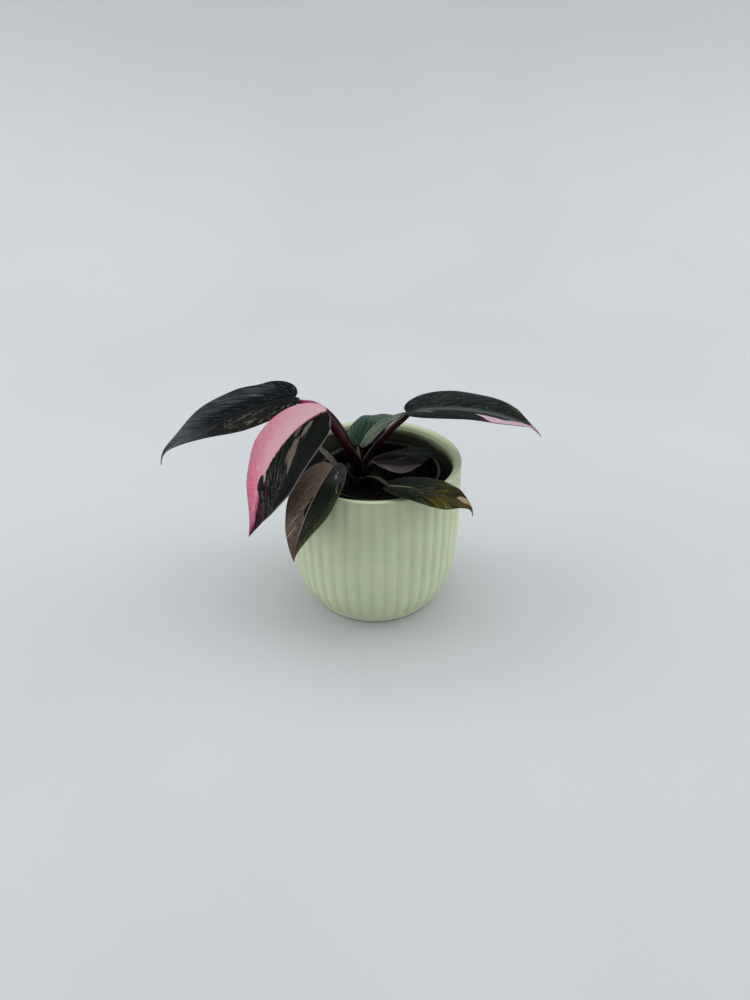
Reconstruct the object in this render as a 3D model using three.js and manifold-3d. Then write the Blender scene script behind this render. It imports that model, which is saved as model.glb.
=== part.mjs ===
// A pink princess philodendron (Philodendron erubescens 'Pink Princess') in a black nursery pot,
// which stands loose inside a ribbed ceramic planter. Eight leaves rise from one short stem.
//
// Units are millimetres, +Z is up, and the origin is the centre of the planter's flat foot.

import * as THREE from "three";
import { mergeVertices } from "three/addons/utils/BufferGeometryUtils.js";
import Module from "manifold-3d";

const wasm = await Module();
wasm.setup();

// ---------------------------------------------------------------- driving dimensions

const SEAT_GAP = 0.3; // clearance left between pieces that touch on the real plant

const PLANTER = {
  height: 120.5,
  footRadius: 50.5,
  waistRadius: 67.4, // widest radius, on the crowns of the ribs
  rimRadius: 67.2,
  wall: 6.2,
  floor: 10,
  ribs: 42,
  ribTurn: -2, // degrees from the front, -Y, to a valley
  ribDepth: 1.3,
  ribBottom: 7, // where the ribs' rounded ends fade into the foot
  ribTop: 115, // where they end under the smooth rim band
  ribFade: 5,
  stepsPerRib: 3,
};

const NURSERY = {
  centre: [4, 2], // the pot stands slightly off the planter's axis
  rimRadius: 47.5,
  baseRadius: 35,
  height: 99,
  wall: 1.2,
  rimBand: 9, // thickened band round the mouth
  rimProud: 1.6,
  drainHoles: 6,
  drainRadius: 4,
  drainCircle: 24,
};

const SOIL = { level: 97, lumps: 1.6 };

const STEM = { root: [-11, 0, 82], soilLine: [-11, 0, 98], tip: [-11.5, 0.5, 118], radius: 5.5 };

const BLADE = {
  thickness: 0.7,
  ridge: 1.1, // how far the midrib stands out underneath, at the leaf's base
  rows: 20, // along each margin, from the notch round the lobe to the tip
  columns: [0, 0.12, 0.4, 0.72, 1], // from midrib to margin
  lobeShare: 0.36, // share of the rows that go round the basal lobe
  fanShare: 0.2, // share of the rows whose veins spring from the base point
  veinBow: 0.12, // how far the side veins bow back towards the base
};

// Each leaf: `base` is where the petiole meets the blade. Directions are in degrees: `heading` is
// the compass direction of the midrib (0 is +X, 90 is +Y), `turn` how far it swings by the tip,
// `pitch` its climb at the base and `tipPitch` at the tip, reached along k^ease, and `hook` the
// extra droop of the drip tip. `roll` and `tipRoll` tilt the blade about its midrib, the folds
// raise each half out of the flat, and `curl` bends the halves further towards their margins.
// `widest` and `tail` are shares of the length, `left` and `right` half widths, `lobe` the reach
// of the basal lobes and `fullness` the fullness of the margin ahead of the tip.
// The petiole runs from `root` on the stem, along two handles, to the blade's base, and its radii
// are those at the root and at the blade. `tones` are the blade's and the petiole's colour.
const LEAVES = {
  upper_left: {
    base: [-62.8, 42, 152.8], heading: 191, turn: -2, pitch: -6, tipPitch: -37, ease: 1.08, hook: -51,
    roll: 0, tipRoll: -12, foldLeft: 11, foldRight: 23, curl: -23,
    length: 126, left: 29, right: 30, widest: 0.33, lobe: 6.3, fullness: 0.19, tail: 0.36,
    petiole: { root: [-13.5, 4, 111], handles: [[-26.5, 7, 159.5], [-45, 27, 144.5]], radii: [2.7, 2.2] },
    tones: ["#26302f", "#4d1c31"],
  },
  pink_half: {
    base: [-33.3, -28.3, 172.4], heading: 199, turn: -8, pitch: -4, tipPitch: -86, ease: 0.55, hook: 15,
    roll: 4, tipRoll: -11, foldLeft: -31, foldRight: 1, curl: 17,
    length: 118.5, left: 30.4, right: 32, widest: 0.42, lobe: 3.2, fullness: 0.36, tail: 0.2,
    petiole: { root: [-13.5, -3, 109], handles: [[-8, -9, 125], [-23, -18, 138.5]], radii: [2.8, 2.6] },
    tones: ["#dc8ea6", "#5a1834"],
  },
  front_left: {
    base: [-29.4, -37.2, 133.2], heading: 239, turn: -7, pitch: -20, tipPitch: -70, ease: 0.93, hook: -16,
    roll: 3, tipRoll: 2, foldLeft: 37, foldRight: 12, curl: -41,
    length: 76.4, left: 24, right: 23.4, widest: 0.35, lobe: 3.6, fullness: 0.35, tail: 0.21,
    petiole: { root: [-13, -5, 98.5], handles: [[-18.5, -16, 112.5], [-23.5, -24, 128]], radii: [2.3, 1.9] },
    tones: ["#564a35", "#6a4a48"],
  },
  upper_right: {
    base: [25.6, 1.3, 158], heading: -3, turn: -1, pitch: 12, tipPitch: -31, ease: 1.04, hook: -23,
    roll: -4, tipRoll: 3, foldLeft: 16, foldRight: 17, curl: -22,
    length: 106, left: 28, right: 26.7, widest: 0.33, lobe: 4.4, fullness: 0.48, tail: 0.18,
    petiole: { root: [-8, 0, 112], handles: [[-6.5, 0.5, 124], [13, 1, 143]], radii: [2.7, 2.5] },
    tones: ["#222d2c", "#561a36"],
  },
  newest: {
    base: [-10.1, 6.9, 127.6], heading: 55, turn: 1, pitch: 54, tipPitch: -33, ease: 0.57, hook: -6,
    roll: -9, tipRoll: -8, foldLeft: 8, foldRight: 24, curl: -14,
    length: 68, left: 21.4, right: 20.5, widest: 0.37, lobe: 2, fullness: 0.29, tail: 0.29,
    petiole: { root: [-10, 6, 109], handles: [[-8.5, 8.5, 116], [-9.5, 7.5, 122]], radii: [1.8, 1.6] },
    tones: ["#3c5a48", "#5a2238"],
  },
  inner_front: {
    base: [1, -4.9, 119.8], heading: 9, turn: 7, pitch: -1, tipPitch: -21, ease: 1, hook: -13,
    roll: -18, tipRoll: 18, foldLeft: 21, foldRight: 7, curl: -33,
    length: 38.6, left: 14.7, right: 16.4, widest: 0.34, lobe: 2.7, fullness: 0.35, tail: 0.23,
    petiole: { root: [-9, -2, 107], handles: [[-4, -3, 113], [-3, -4, 119]], radii: [2.2, 1.5] },
    tones: ["#5d4a4d", "#5b4449"],
  },
  inner_back: {
    base: [14.6, 17.7, 113.2], heading: 5, turn: 7, pitch: 9, tipPitch: -16, ease: 1, hook: -25,
    roll: -9, tipRoll: 11, foldLeft: 9, foldRight: 7, curl: -35,
    length: 36, left: 13.1, right: 17.7, widest: 0.34, lobe: 8, fullness: 0.35, tail: 0.27,
    petiole: { root: [-8, 3, 102], handles: [[-3, 6, 110], [5, 15, 112]], radii: [2.2, 1.4] },
    tones: ["#27332c", "#4a2c34"],
  },
  front_right: {
    base: [12.2, -49.1, 123.4], heading: -18, turn: -1, pitch: 8, tipPitch: -27, ease: 1.06, hook: -72,
    roll: -6, tipRoll: 5, foldLeft: 17, foldRight: 18, curl: -33,
    length: 65.6, left: 17.8, right: 19, widest: 0.52, lobe: 6.5, fullness: 0.3, tail: 0.24,
    petiole: { root: [-8, -4.5, 100], handles: [[-4.5, -12, 112], [0, -32, 123]], radii: [2.4, 1.6] },
    tones: ["#4a4a26", "#4a3a34"],
  },
};

// ---------------------------------------------------------------- solids

// A closed manifold-3d solid from a BufferGeometry.
function solid(geometry) {
  const bare = geometry.index ? geometry.clone() : geometry;
  for (const name of ["normal", "uv"]) bare.deleteAttribute(name);
  const merged = mergeVertices(bare, 1e-4);
  return new wasm.Manifold(
    new wasm.Mesh({
      numProp: 3,
      vertProperties: merged.attributes.position.array,
      triVerts: new Uint32Array(merged.index.array),
    }),
  );
}

// A closed solid from lists of vertices [x, y, z] and triangles [a, b, c].
function solidOf(vertices, triangles) {
  return new wasm.Manifold(
    new wasm.Mesh({
      numProp: 3,
      vertProperties: new Float32Array(vertices.flat()),
      triVerts: new Uint32Array(triangles.flat()),
    }),
  );
}

function geometryOf(body) {
  const { vertProperties, triVerts } = body.getMesh();
  const geometry = new THREE.BufferGeometry();
  geometry.setAttribute("position", new THREE.BufferAttribute(vertProperties, 3));
  geometry.setIndex(new THREE.BufferAttribute(triVerts, 1));
  return geometry.toNonIndexed();
}

// A cut may leave a crumb beyond the cutting piece; only the main body is kept.
function largest(body) {
  const pieces = body.decompose();
  return pieces.reduce((best, piece) => (piece.volume() > best.volume() ? piece : best));
}

// A closed skin through rings of equally many vertices, with a flat fan over each end.
function loft(rings) {
  const count = rings[0].length;
  const triangles = [];
  for (let r = 0; r + 1 < rings.length; r++) {
    for (let i = 0; i < count; i++) {
      const a = r * count + i;
      const b = r * count + ((i + 1) % count);
      triangles.push([a, b, b + count], [a, b + count, a + count]);
    }
  }
  const last = (rings.length - 1) * count;
  for (let i = 1; i + 1 < count; i++) {
    triangles.push([0, i + 1, i], [last, last + i, last + i + 1]);
  }
  return solidOf(rings.flat(), triangles);
}

const mix = THREE.MathUtils.lerp;
const radians = THREE.MathUtils.degToRad;
const smooth = THREE.MathUtils.smoothstep;

// ---------------------------------------------------------------- pots and soil

// Outer radius of the planter at height z: a small foot, a full round shoulder and a wall that
// stays nearly upright to the rim.
const planterCurve = new THREE.SplineCurve(
  [
    [PLANTER.footRadius, 0],
    [52.5, 2.5],
    [55.4, 7],
    [59, 14],
    [63.3, 24],
    [65.8, 40],
    [66.9, 60],
    [PLANTER.waistRadius, 88],
    [PLANTER.rimRadius, 118],
  ].map(([radius, z]) => new THREE.Vector2(radius, z)),
);

// The ribs are convex reeds with sharp valleys. `phase` is 0 in a valley and 0.5 on a crown.
function ribRelief(phase, z) {
  const { ribBottom, ribTop, ribFade, ribDepth } = PLANTER;
  const ends = smooth(z, ribBottom, ribBottom + ribFade) * (1 - smooth(z, ribTop - ribFade, ribTop));
  return -ribDepth * ends * (1 - Math.sin(Math.PI * phase));
}

function planterSolid() {
  const { ribs, ribTurn, stepsPerRib, height, rimRadius, wall, floor } = PLANTER;
  const steps = ribs * stepsPerRib;
  const profile = [0, 0.12, 0.22, 0.31, 0.4, 0.5, 0.62, 0.75, 0.88].map((u) => planterCurve.getPoint(u));
  const stations = [
    ...profile,
    new THREE.Vector2(rimRadius + 0.1, PLANTER.ribTop - PLANTER.ribFade),
    new THREE.Vector2(rimRadius, PLANTER.ribTop),
    new THREE.Vector2(rimRadius, height - 1.6),
    new THREE.Vector2(rimRadius - 0.7, height - 0.4),
    new THREE.Vector2(rimRadius - 2, height),
  ];
  const rings = stations.map((station) => {
    const ring = [];
    for (let i = 0; i < steps; i++) {
      const angle = (2 * Math.PI * i) / steps + radians(ribTurn - 90);
      const radius = station.x + ribRelief((i % stepsPerRib) / stepsPerRib, station.y);
      ring.push([radius * Math.cos(angle), radius * Math.sin(angle), station.y]);
    }
    return ring;
  });
  const inside = rimRadius - wall;
  const hollow = new THREE.LatheGeometry(
    [
      [0, floor],
      [inside - 16, floor],
      [inside - 7, floor + 6],
      [inside - 2, floor + 22],
      [inside, floor + 50],
      [inside, height - 1.4],
      [inside + 1.6, height + 0.1],
      [inside + 1.6, height + 2],
      [0, height + 2],
    ].map(([radius, z]) => new THREE.Vector2(radius, z)),
    64,
  );
  hollow.rotateX(Math.PI / 2);
  return loft(rings).subtract(solid(hollow));
}

// A tapered round wall from floor to mouth, closed by its own floor.
function nurseryPotSolid() {
  const { rimRadius, baseRadius, height, wall, rimBand, rimProud } = NURSERY;
  const shell = new THREE.LatheGeometry(
    [
      [0, 0],
      [baseRadius, 0],
      [rimRadius - rimProud - 0.8, height - rimBand],
      [rimRadius, height - rimBand],
      [rimRadius, height],
      [rimRadius - wall - 0.6, height],
      [rimRadius - wall - 1.2, height - 1.2],
      [rimRadius - rimProud - wall - 0.8, height - rimBand],
      [baseRadius - wall, wall],
      [0, wall],
    ].map(([radius, z]) => new THREE.Vector2(radius, z)),
    48,
  );
  shell.rotateX(Math.PI / 2);
  let pot = solid(shell);
  for (let i = 0; i < NURSERY.drainHoles; i++) {
    const angle = (2 * Math.PI * i) / NURSERY.drainHoles;
    const hole = new THREE.CylinderGeometry(NURSERY.drainRadius, NURSERY.drainRadius, 4 * wall, 12);
    hole.rotateX(Math.PI / 2);
    hole.translate(NURSERY.drainCircle * Math.cos(angle), NURSERY.drainCircle * Math.sin(angle), 0);
    pot = pot.subtract(solid(hole));
  }
  return pot.translate([...NURSERY.centre, PLANTER.floor + SEAT_GAP]);
}

// Gentle lumps of potting mix, the same on every build.
function soilHeight(x, y) {
  const broad = Math.sin(0.21 * x + 1) * Math.cos(0.17 * y);
  const fine = Math.sin(0.53 * x - 0.31 * y + 2) * Math.cos(0.47 * y + 0.2 * x);
  return SOIL.level + SOIL.lumps * (0.55 * broad + 0.45 * fine);
}

function soilSolid(stemHole) {
  const { centre, rimRadius, baseRadius, height, wall, rimBand, rimProud } = NURSERY;
  const steps = 36;
  const bottom = PLANTER.floor + SEAT_GAP + wall + SEAT_GAP;
  const insideAt = (z) => {
    const share = (z - PLANTER.floor - SEAT_GAP) / (height - rimBand);
    return mix(baseRadius, rimRadius - rimProud - 0.8, share) - wall - 2 * SEAT_GAP;
  };
  const edge = insideAt(SOIL.level - 2 * SOIL.lumps);
  const shares = [1, 0.86, 0.7, 0.54, 0.38, 0.22, 0.06];
  const ring = (radius, heightAt) =>
    Array.from({ length: steps }, (_, i) => {
      const angle = (2 * Math.PI * i) / steps;
      const x = centre[0] + radius * Math.cos(angle);
      const y = centre[1] + radius * Math.sin(angle);
      return [x, y, heightAt(x, y)];
    });
  const rings = [
    ring(insideAt(bottom), () => bottom),
    ring(edge, () => SOIL.level - 2 * SOIL.lumps),
    ...shares.map((share) => ring(edge * share, soilHeight)),
  ];
  return loft(rings).subtract(stemHole);
}

// ---------------------------------------------------------------- stem and petioles

// A round, tapering rod along a curve. `grow` widens it and lengthens both ends.
function rod(curve, radii, { steps = 10, sides = 8, grow = 0 } = {}) {
  const frames = curve.computeFrenetFrames(steps, false);
  const rings = [];
  for (let k = 0; k <= steps; k++) {
    const centre = curve.getPointAt(k / steps);
    if (k === 0) centre.addScaledVector(frames.tangents[k], -grow);
    if (k === steps) centre.addScaledVector(frames.tangents[k], grow);
    const radius = radii(k / steps) + grow;
    const ring = [];
    for (let i = 0; i < sides; i++) {
      const angle = (2 * Math.PI * i) / sides;
      const point = centre.clone();
      point.addScaledVector(frames.normals[k], radius * Math.cos(angle));
      point.addScaledVector(frames.binormals[k], radius * Math.sin(angle));
      ring.push(point.toArray());
    }
    rings.push(ring);
  }
  return loft(rings);
}

// The stem is short and ringed by the scars of fallen leaves.
function stemSolid(grow = 0) {
  const points = [STEM.root, STEM.soilLine, STEM.tip].map((point) => new THREE.Vector3(...point));
  const curve = new THREE.CatmullRomCurve3(points);
  const scar = (u) => 0.5 * Math.max(0, Math.cos(2 * Math.PI * 6 * u)) * (u < 0.9 ? 1 : 0);
  const radii = (u) => STEM.radius * (1 - 0.12 * u) + scar(u) - (u > 0.97 ? 1.4 : 0);
  return rod(curve, radii, { steps: 18, sides: 12, grow });
}

function petioleSolid({ base, petiole }, grow = 0) {
  const [near, far] = petiole.handles.map((point) => new THREE.Vector3(...point));
  const curve = new THREE.CubicBezierCurve3(
    new THREE.Vector3(...petiole.root), near, far, new THREE.Vector3(...base),
  );
  const [root, end] = petiole.radii;
  const radii = (u) => mix(root, end, smooth(u, 0, 0.6));
  return rod(curve, radii, { grow });
}

// ---------------------------------------------------------------- leaf blades

function bezier(a, b, c, d, t) {
  const s = 1 - t;
  return a * s ** 3 + 3 * b * s * s * t + 3 * c * s * t * t + d * t ** 3;
}

// Half a blade's margin laid flat: from the notch, round the basal lobe, to the tip. x runs along
// the midrib and y across it.
function margin(leaf, halfWidth, t) {
  const { length, lobe, fullness, tail } = leaf;
  const widest = leaf.widest * length;
  if (t < BLADE.lobeShare) {
    const u = t / BLADE.lobeShare;
    return { x: bezier(0, -1.35 * lobe, -1.05 * lobe, widest, u), y: halfWidth * bezier(0, 0.1, 1, 1, u) };
  }
  const u = (t - BLADE.lobeShare) / (1 - BLADE.lobeShare);
  const shoulder = widest + 0.42 * (length - widest);
  return {
    x: bezier(widest, shoulder, length * (1 - tail), length, u),
    y: halfWidth * bezier(1, 1, fullness, 0, u),
  };
}

// Where on the midrib the side vein to margin point t springs from.
function veinFoot(leaf, t) {
  const u = Math.max(0, (t - BLADE.fanShare) / (1 - BLADE.fanShare));
  return leaf.length * u ** 1.05;
}

// The midrib as a curve in space: at(x) gives its point, side and normal directions there.
function midribOf(leaf) {
  const stations = 60;
  const directions = (share) => {
    const droop = leaf.hook * THREE.MathUtils.clamp((share - 0.85) / 0.15, 0, 1);
    const pitch = radians(mix(leaf.pitch, leaf.tipPitch, share ** leaf.ease) + droop);
    const heading = radians(leaf.heading + leaf.turn * share);
    const along = new THREE.Vector3(
      Math.cos(pitch) * Math.cos(heading), Math.cos(pitch) * Math.sin(heading), Math.sin(pitch),
    );
    const side = new THREE.Vector3(-Math.sin(heading), Math.cos(heading), 0);
    const normal = along.clone().cross(side);
    const roll = radians(mix(leaf.roll, leaf.tipRoll, share));
    side.applyAxisAngle(along, roll);
    normal.applyAxisAngle(along, roll);
    return { along, side, normal };
  };
  const points = [new THREE.Vector3(...leaf.base)];
  for (let k = 0; k < stations; k++) {
    const { along } = directions((k + 0.5) / stations);
    points.push(points[k].clone().addScaledVector(along, leaf.length / stations));
  }
  return (x) => {
    const share = THREE.MathUtils.clamp(x / leaf.length, 0, 1);
    const k = Math.min(stations - 1, Math.floor(share * stations));
    const point = points[k].clone().lerp(points[k + 1], share * stations - k);
    const frame = directions(share);
    point.addScaledVector(frame.along, Math.min(x, 0));
    return { point, ...frame };
  };
}

// A blade as one thin body. Its two faces share one triangulation, set apart along the normals,
// and the midrib is a ridge underneath. `grow` swells the whole body, for cutting its petiole back.
function bladeSolid(leaf, grow = 0) {
  const midrib = midribOf(leaf);
  const { rows, columns } = BLADE;
  const sheet = [];
  const shares = [];
  const known = new Map();

  const vertex = (side, row, column) => {
    const t = row / rows;
    const foot = veinFoot(leaf, t);
    const atBase = row === 0 || (column === 0 && foot === 0);
    const onMidrib = row === rows || column === 0;
    const key = atBase ? "base" : onMidrib ? `midrib${row}` : `${side},${row},${column}`;
    if (known.has(key)) return known.get(key);
    const v = onMidrib || atBase ? 0 : columns[column];
    const halfWidth = side > 0 ? leaf.left : leaf.right;
    const edge = margin(leaf, halfWidth, t);
    const x = atBase ? 0 : foot + (edge.x - foot) * v - BLADE.veinBow * 2 * v * (1 - v) * edge.y;
    const y = edge.y * v;
    const fold = side > 0 ? leaf.foldLeft : leaf.foldRight;
    const lift = radians(fold + (leaf.curl * y) / halfWidth / 2);
    const { point, side: across, normal } = midrib(x);
    point.addScaledVector(across, side * y * Math.cos(lift)).addScaledVector(normal, y * Math.sin(lift));
    known.set(key, sheet.length);
    sheet.push(point);
    shares.push(v === 0 ? foot / leaf.length : -1);
    return sheet.length - 1;
  };

  const faces = [];
  const walls = [];
  for (const side of [1, -1]) {
    for (let row = 0; row < rows; row++) {
      for (let column = 0; column + 1 < columns.length; column++) {
        const [a, b] = [vertex(side, row, column), vertex(side, row + 1, column)];
        const [c, d] = [vertex(side, row + 1, column + 1), vertex(side, row, column + 1)];
        for (const face of [[a, b, c], [a, c, d]]) {
          if (new Set(face).size === 3) faces.push(side > 0 ? face : face.reverse());
        }
      }
      const [p, q] = [row, row + 1].map((r) => vertex(side, r, columns.length - 1));
      walls.push(side > 0 ? [p, q] : [q, p]);
    }
  }

  const normals = sheet.map(() => new THREE.Vector3());
  for (const [a, b, c] of faces) {
    const ab = sheet[b].clone().sub(sheet[a]);
    const area = ab.cross(sheet[c].clone().sub(sheet[a]));
    for (const corner of [a, b, c]) normals[corner].add(area);
  }
  for (const normal of normals) normal.normalize();
  const outwards = sheet.map(() => new THREE.Vector3());
  for (const [p, q] of walls) {
    const run = sheet[q].clone().sub(sheet[p]).normalize();
    for (const corner of [p, q]) outwards[corner].add(normals[corner].clone().cross(run));
  }
  const middle = sheet.map((point, i) => point.addScaledVector(outwards[i].normalize(), grow));
  const half = BLADE.thickness / 2 + grow;
  const top = middle.map((point, i) => point.clone().addScaledVector(normals[i], half));
  const bottom = middle.map((point, i) => {
    const ridge = shares[i] < 0 ? 0 : BLADE.ridge * (1 - shares[i]);
    return point.clone().addScaledVector(normals[i], -half - ridge);
  });
  const under = sheet.length;
  const triangles = faces.flatMap(([a, b, c]) => [[a, b, c], [a + under, c + under, b + under]]);
  for (const [p, q] of walls) triangles.push([p, q, q + under], [p, q + under, p + under]);
  return solidOf([...top, ...bottom].map((point) => point.toArray()), triangles);
}

// ---------------------------------------------------------------- dried sheaths

// A thin strap along a curve, tapering to a point: `width` across and `thickness` through.
function strapSolid({ path, width, thickness }) {
  const curve = new THREE.CatmullRomCurve3(path.map((point) => new THREE.Vector3(...point)));
  const steps = 8;
  const up = new THREE.Vector3(0, 0, 1);
  const rings = [];
  for (let k = 0; k <= steps; k++) {
    const u = k / steps;
    const centre = curve.getPointAt(u);
    const along = curve.getTangentAt(u);
    const across = along.clone().cross(up).normalize();
    const out = across.clone().cross(along);
    const half = (width / 2) * (1 - 0.8 * u ** 3);
    const cup = 0.25 * half; // the strap is hollowed like a gutter
    const section = [[-half, cup], [0, 0], [half, cup], [half, cup - thickness], [0, -thickness]];
    section.push([-half, cup - thickness]);
    rings.push(
      section.map(([s, o]) => centre.clone().addScaledVector(across, s).addScaledVector(out, o).toArray()),
    );
  }
  return loft(rings);
}

const SHEATHS = {
  dried_sheath_long: {
    path: [[-14, -2, 101], [-22.4, -3, 108], [-29.9, 0, 115.3], [-36, 4, 121], [-44, 9, 127]],
    width: 6, thickness: 0.9, tone: "#6b6255",
  },
  dried_sheath_short: {
    path: [[-15, -6, 101], [-17.5, -8.5, 106], [-19.5, -9, 113], [-20, -8, 120]],
    width: 5, thickness: 0.9, tone: "#7d6057",
  },
  growth_sheath: {
    path: [[-10, -4.5, 113], [-10.5, -5, 120], [-11.5, -4.5, 126], [-12, -3.5, 131.5]],
    width: 4.5, thickness: 0.9, tone: "#a98f7e",
  },
};

// ---------------------------------------------------------------- assembly

const group = new THREE.Group();

function place(name, body, colour, roughness = 0.5) {
  const material = new THREE.MeshStandardMaterial({ color: colour, roughness, metalness: 0 });
  const mesh = new THREE.Mesh(geometryOf(body), material);
  mesh.name = name;
  group.add(mesh);
}

place("planter", planterSolid(), "#b9c8a4", 0.55);
place("nursery_pot", nurseryPotSolid(), "#161718", 0.45);
place("soil", soilSolid(stemSolid(SEAT_GAP)), "#0f0d0b", 1);
place("stem", stemSolid(), "#2a1a20", 0.6);

// What stands on the stem is trimmed clear of it and of everything placed before.
let taken = stemSolid(SEAT_GAP);
for (const [name, leaf] of Object.entries(LEAVES)) {
  const blade = bladeSolid(leaf);
  const petiole = largest(petioleSolid(leaf).subtract(taken).subtract(bladeSolid(leaf, SEAT_GAP)));
  place(`leaf_${name}`, blade, leaf.tones[0], 0.4);
  place(`petiole_${name}`, petiole, leaf.tones[1], 0.4);
  taken = taken.add(petioleSolid(leaf, SEAT_GAP));
}
for (const [name, sheath] of Object.entries(SHEATHS)) {
  place(name, largest(strapSolid(sheath).subtract(taken)), sheath.tone, 0.8);
}

export default group;
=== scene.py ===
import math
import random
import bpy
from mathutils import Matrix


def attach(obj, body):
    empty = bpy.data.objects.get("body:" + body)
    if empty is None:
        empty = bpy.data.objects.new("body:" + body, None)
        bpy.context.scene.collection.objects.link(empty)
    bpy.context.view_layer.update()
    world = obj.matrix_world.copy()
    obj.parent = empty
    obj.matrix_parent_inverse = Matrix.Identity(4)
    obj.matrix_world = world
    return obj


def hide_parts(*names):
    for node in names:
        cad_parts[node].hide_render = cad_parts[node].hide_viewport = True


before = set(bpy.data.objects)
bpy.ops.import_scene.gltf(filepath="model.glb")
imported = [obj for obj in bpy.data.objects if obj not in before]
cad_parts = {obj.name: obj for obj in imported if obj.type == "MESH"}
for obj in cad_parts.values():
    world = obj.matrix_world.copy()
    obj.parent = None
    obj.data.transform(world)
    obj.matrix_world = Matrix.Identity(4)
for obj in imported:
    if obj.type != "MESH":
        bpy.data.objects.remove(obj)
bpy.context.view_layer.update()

# A pink princess philodendron in a black nursery pot, inside a ribbed, pale green planter.
# Every node of the frame but the nursery pot is rebuilt here from the same dimensions with finer
# relief, and each has a procedural material. Dimensions are millimetres until a mesh is made.

from types import SimpleNamespace as Dimensions

import bmesh
import bpy
import numpy as np
from mathutils import Matrix, Vector, noise

MM = 0.001
UV_SCALE = 100  # mm for 1 in the leaves' UV layers


class Leaf(Dimensions):
    """A leaf and its petiole. These four differ from what they are here on a few leaves only."""

    arch = 0
    wing = 0
    dent = (0, 0, 1, 0)
    drawn_tip = (0.9, 1)


# ---------------------------------------------------------------- dimensions

PLANTER = Dimensions(
    height=120.5,
    rim_radius=67.2,
    wall=6.2,
    floor=10,
    profile=[  # outer radius and height, foot to rim, on the crowns of the ribs
        (50.5, 0), (52.5, 2.5), (55.4, 7), (59, 14), (63.3, 24), (65.8, 40), (66.9, 60), (67.4, 88),
        (67.2, 118),
    ],
    foot_rings=(0.3, 0.7, 0.97),  # underneath, as shares of the foot's radius
    foot_edge=[(-0.15, 0.05), (0.35, 0.5)],  # beyond the foot's radius, and height
    levels=[(1.2, 14, 0.7), (14, 30, 2), (30, 106, 6), (106, 119.5, 0.7)],  # outside: from, to, step
    hollow=[(0, 50), (2, 22), (7, 6), (16, 0), (30, 0)],  # inset from the wall, height over the floor
    ribs=42,
    rib_turn=-2,  # degrees from the front, -Y, to a valley
    rib_depth=1.2,
    rib_bottom=6.5,
    rib_top=119.0,
    rib_cap=3.2,  # length of a rib's rounded end
    band_depth=0.7,  # how far the plain bands lie behind the crowns
    lip=1.0,  # radius of the rim's outer edge
    inner_lip=4.0,
    throat=10,  # how far the wall runs straight below the inner lip
    steps_per_rib=12,
)

NURSERY = Dimensions(
    centre=(4, 2), rim_radius=47.5, base_radius=35, height=99, wall=1.2, stands=0.3,
    band=9, band_proud=1.6, band_step=0.8, crisp_angle=35,
)
SOIL = Dimensions(
    level=97, lumps=1.6, bottom=12.1, clearance=0.6, steps=150, rings=46,
    grit=0.8, crumbs=0.25, settled=0.3,
)
# Loose bits on the soil: how many are tried, their sizes and shape, and where none may lie.
BITS = Dimensions(
    tries=260, long=(0.7, 2.6), wide=(0.4, 1.1), thick=(0.3, 0.8), lean=0.4,
    sections=5, around=7, rough=(0.75, 1.15), lift=0.3, off_wall=2.5, off_stem=8,
)
STEM = Dimensions(
    root=(-11, 0, 82), soil_line=(-11, 0, 98), tip=(-11.5, 0.5, 118), radius=5.5,
    taper=0.12, scars=6, scar_rise=0.55, rough=0.25, rounding=3.2,
)
# Shares of a petiole's radius: how much wider it clasps the stem, how far it is drawn in by the
# blade, and how deep it sinks below the blade.
PETIOLE = Dimensions(clasp=0.28, neck=0.12, sink=0.55, stations=56, around=28)
# The groove along a petiole and the ridges beside it. Angles are in radians around the petiole.
GROOVE = Dimensions(depth=0.2, spread=0.38, ridge_share=0.4, ridge_at=0.66, ridge_spread=0.25)

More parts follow.
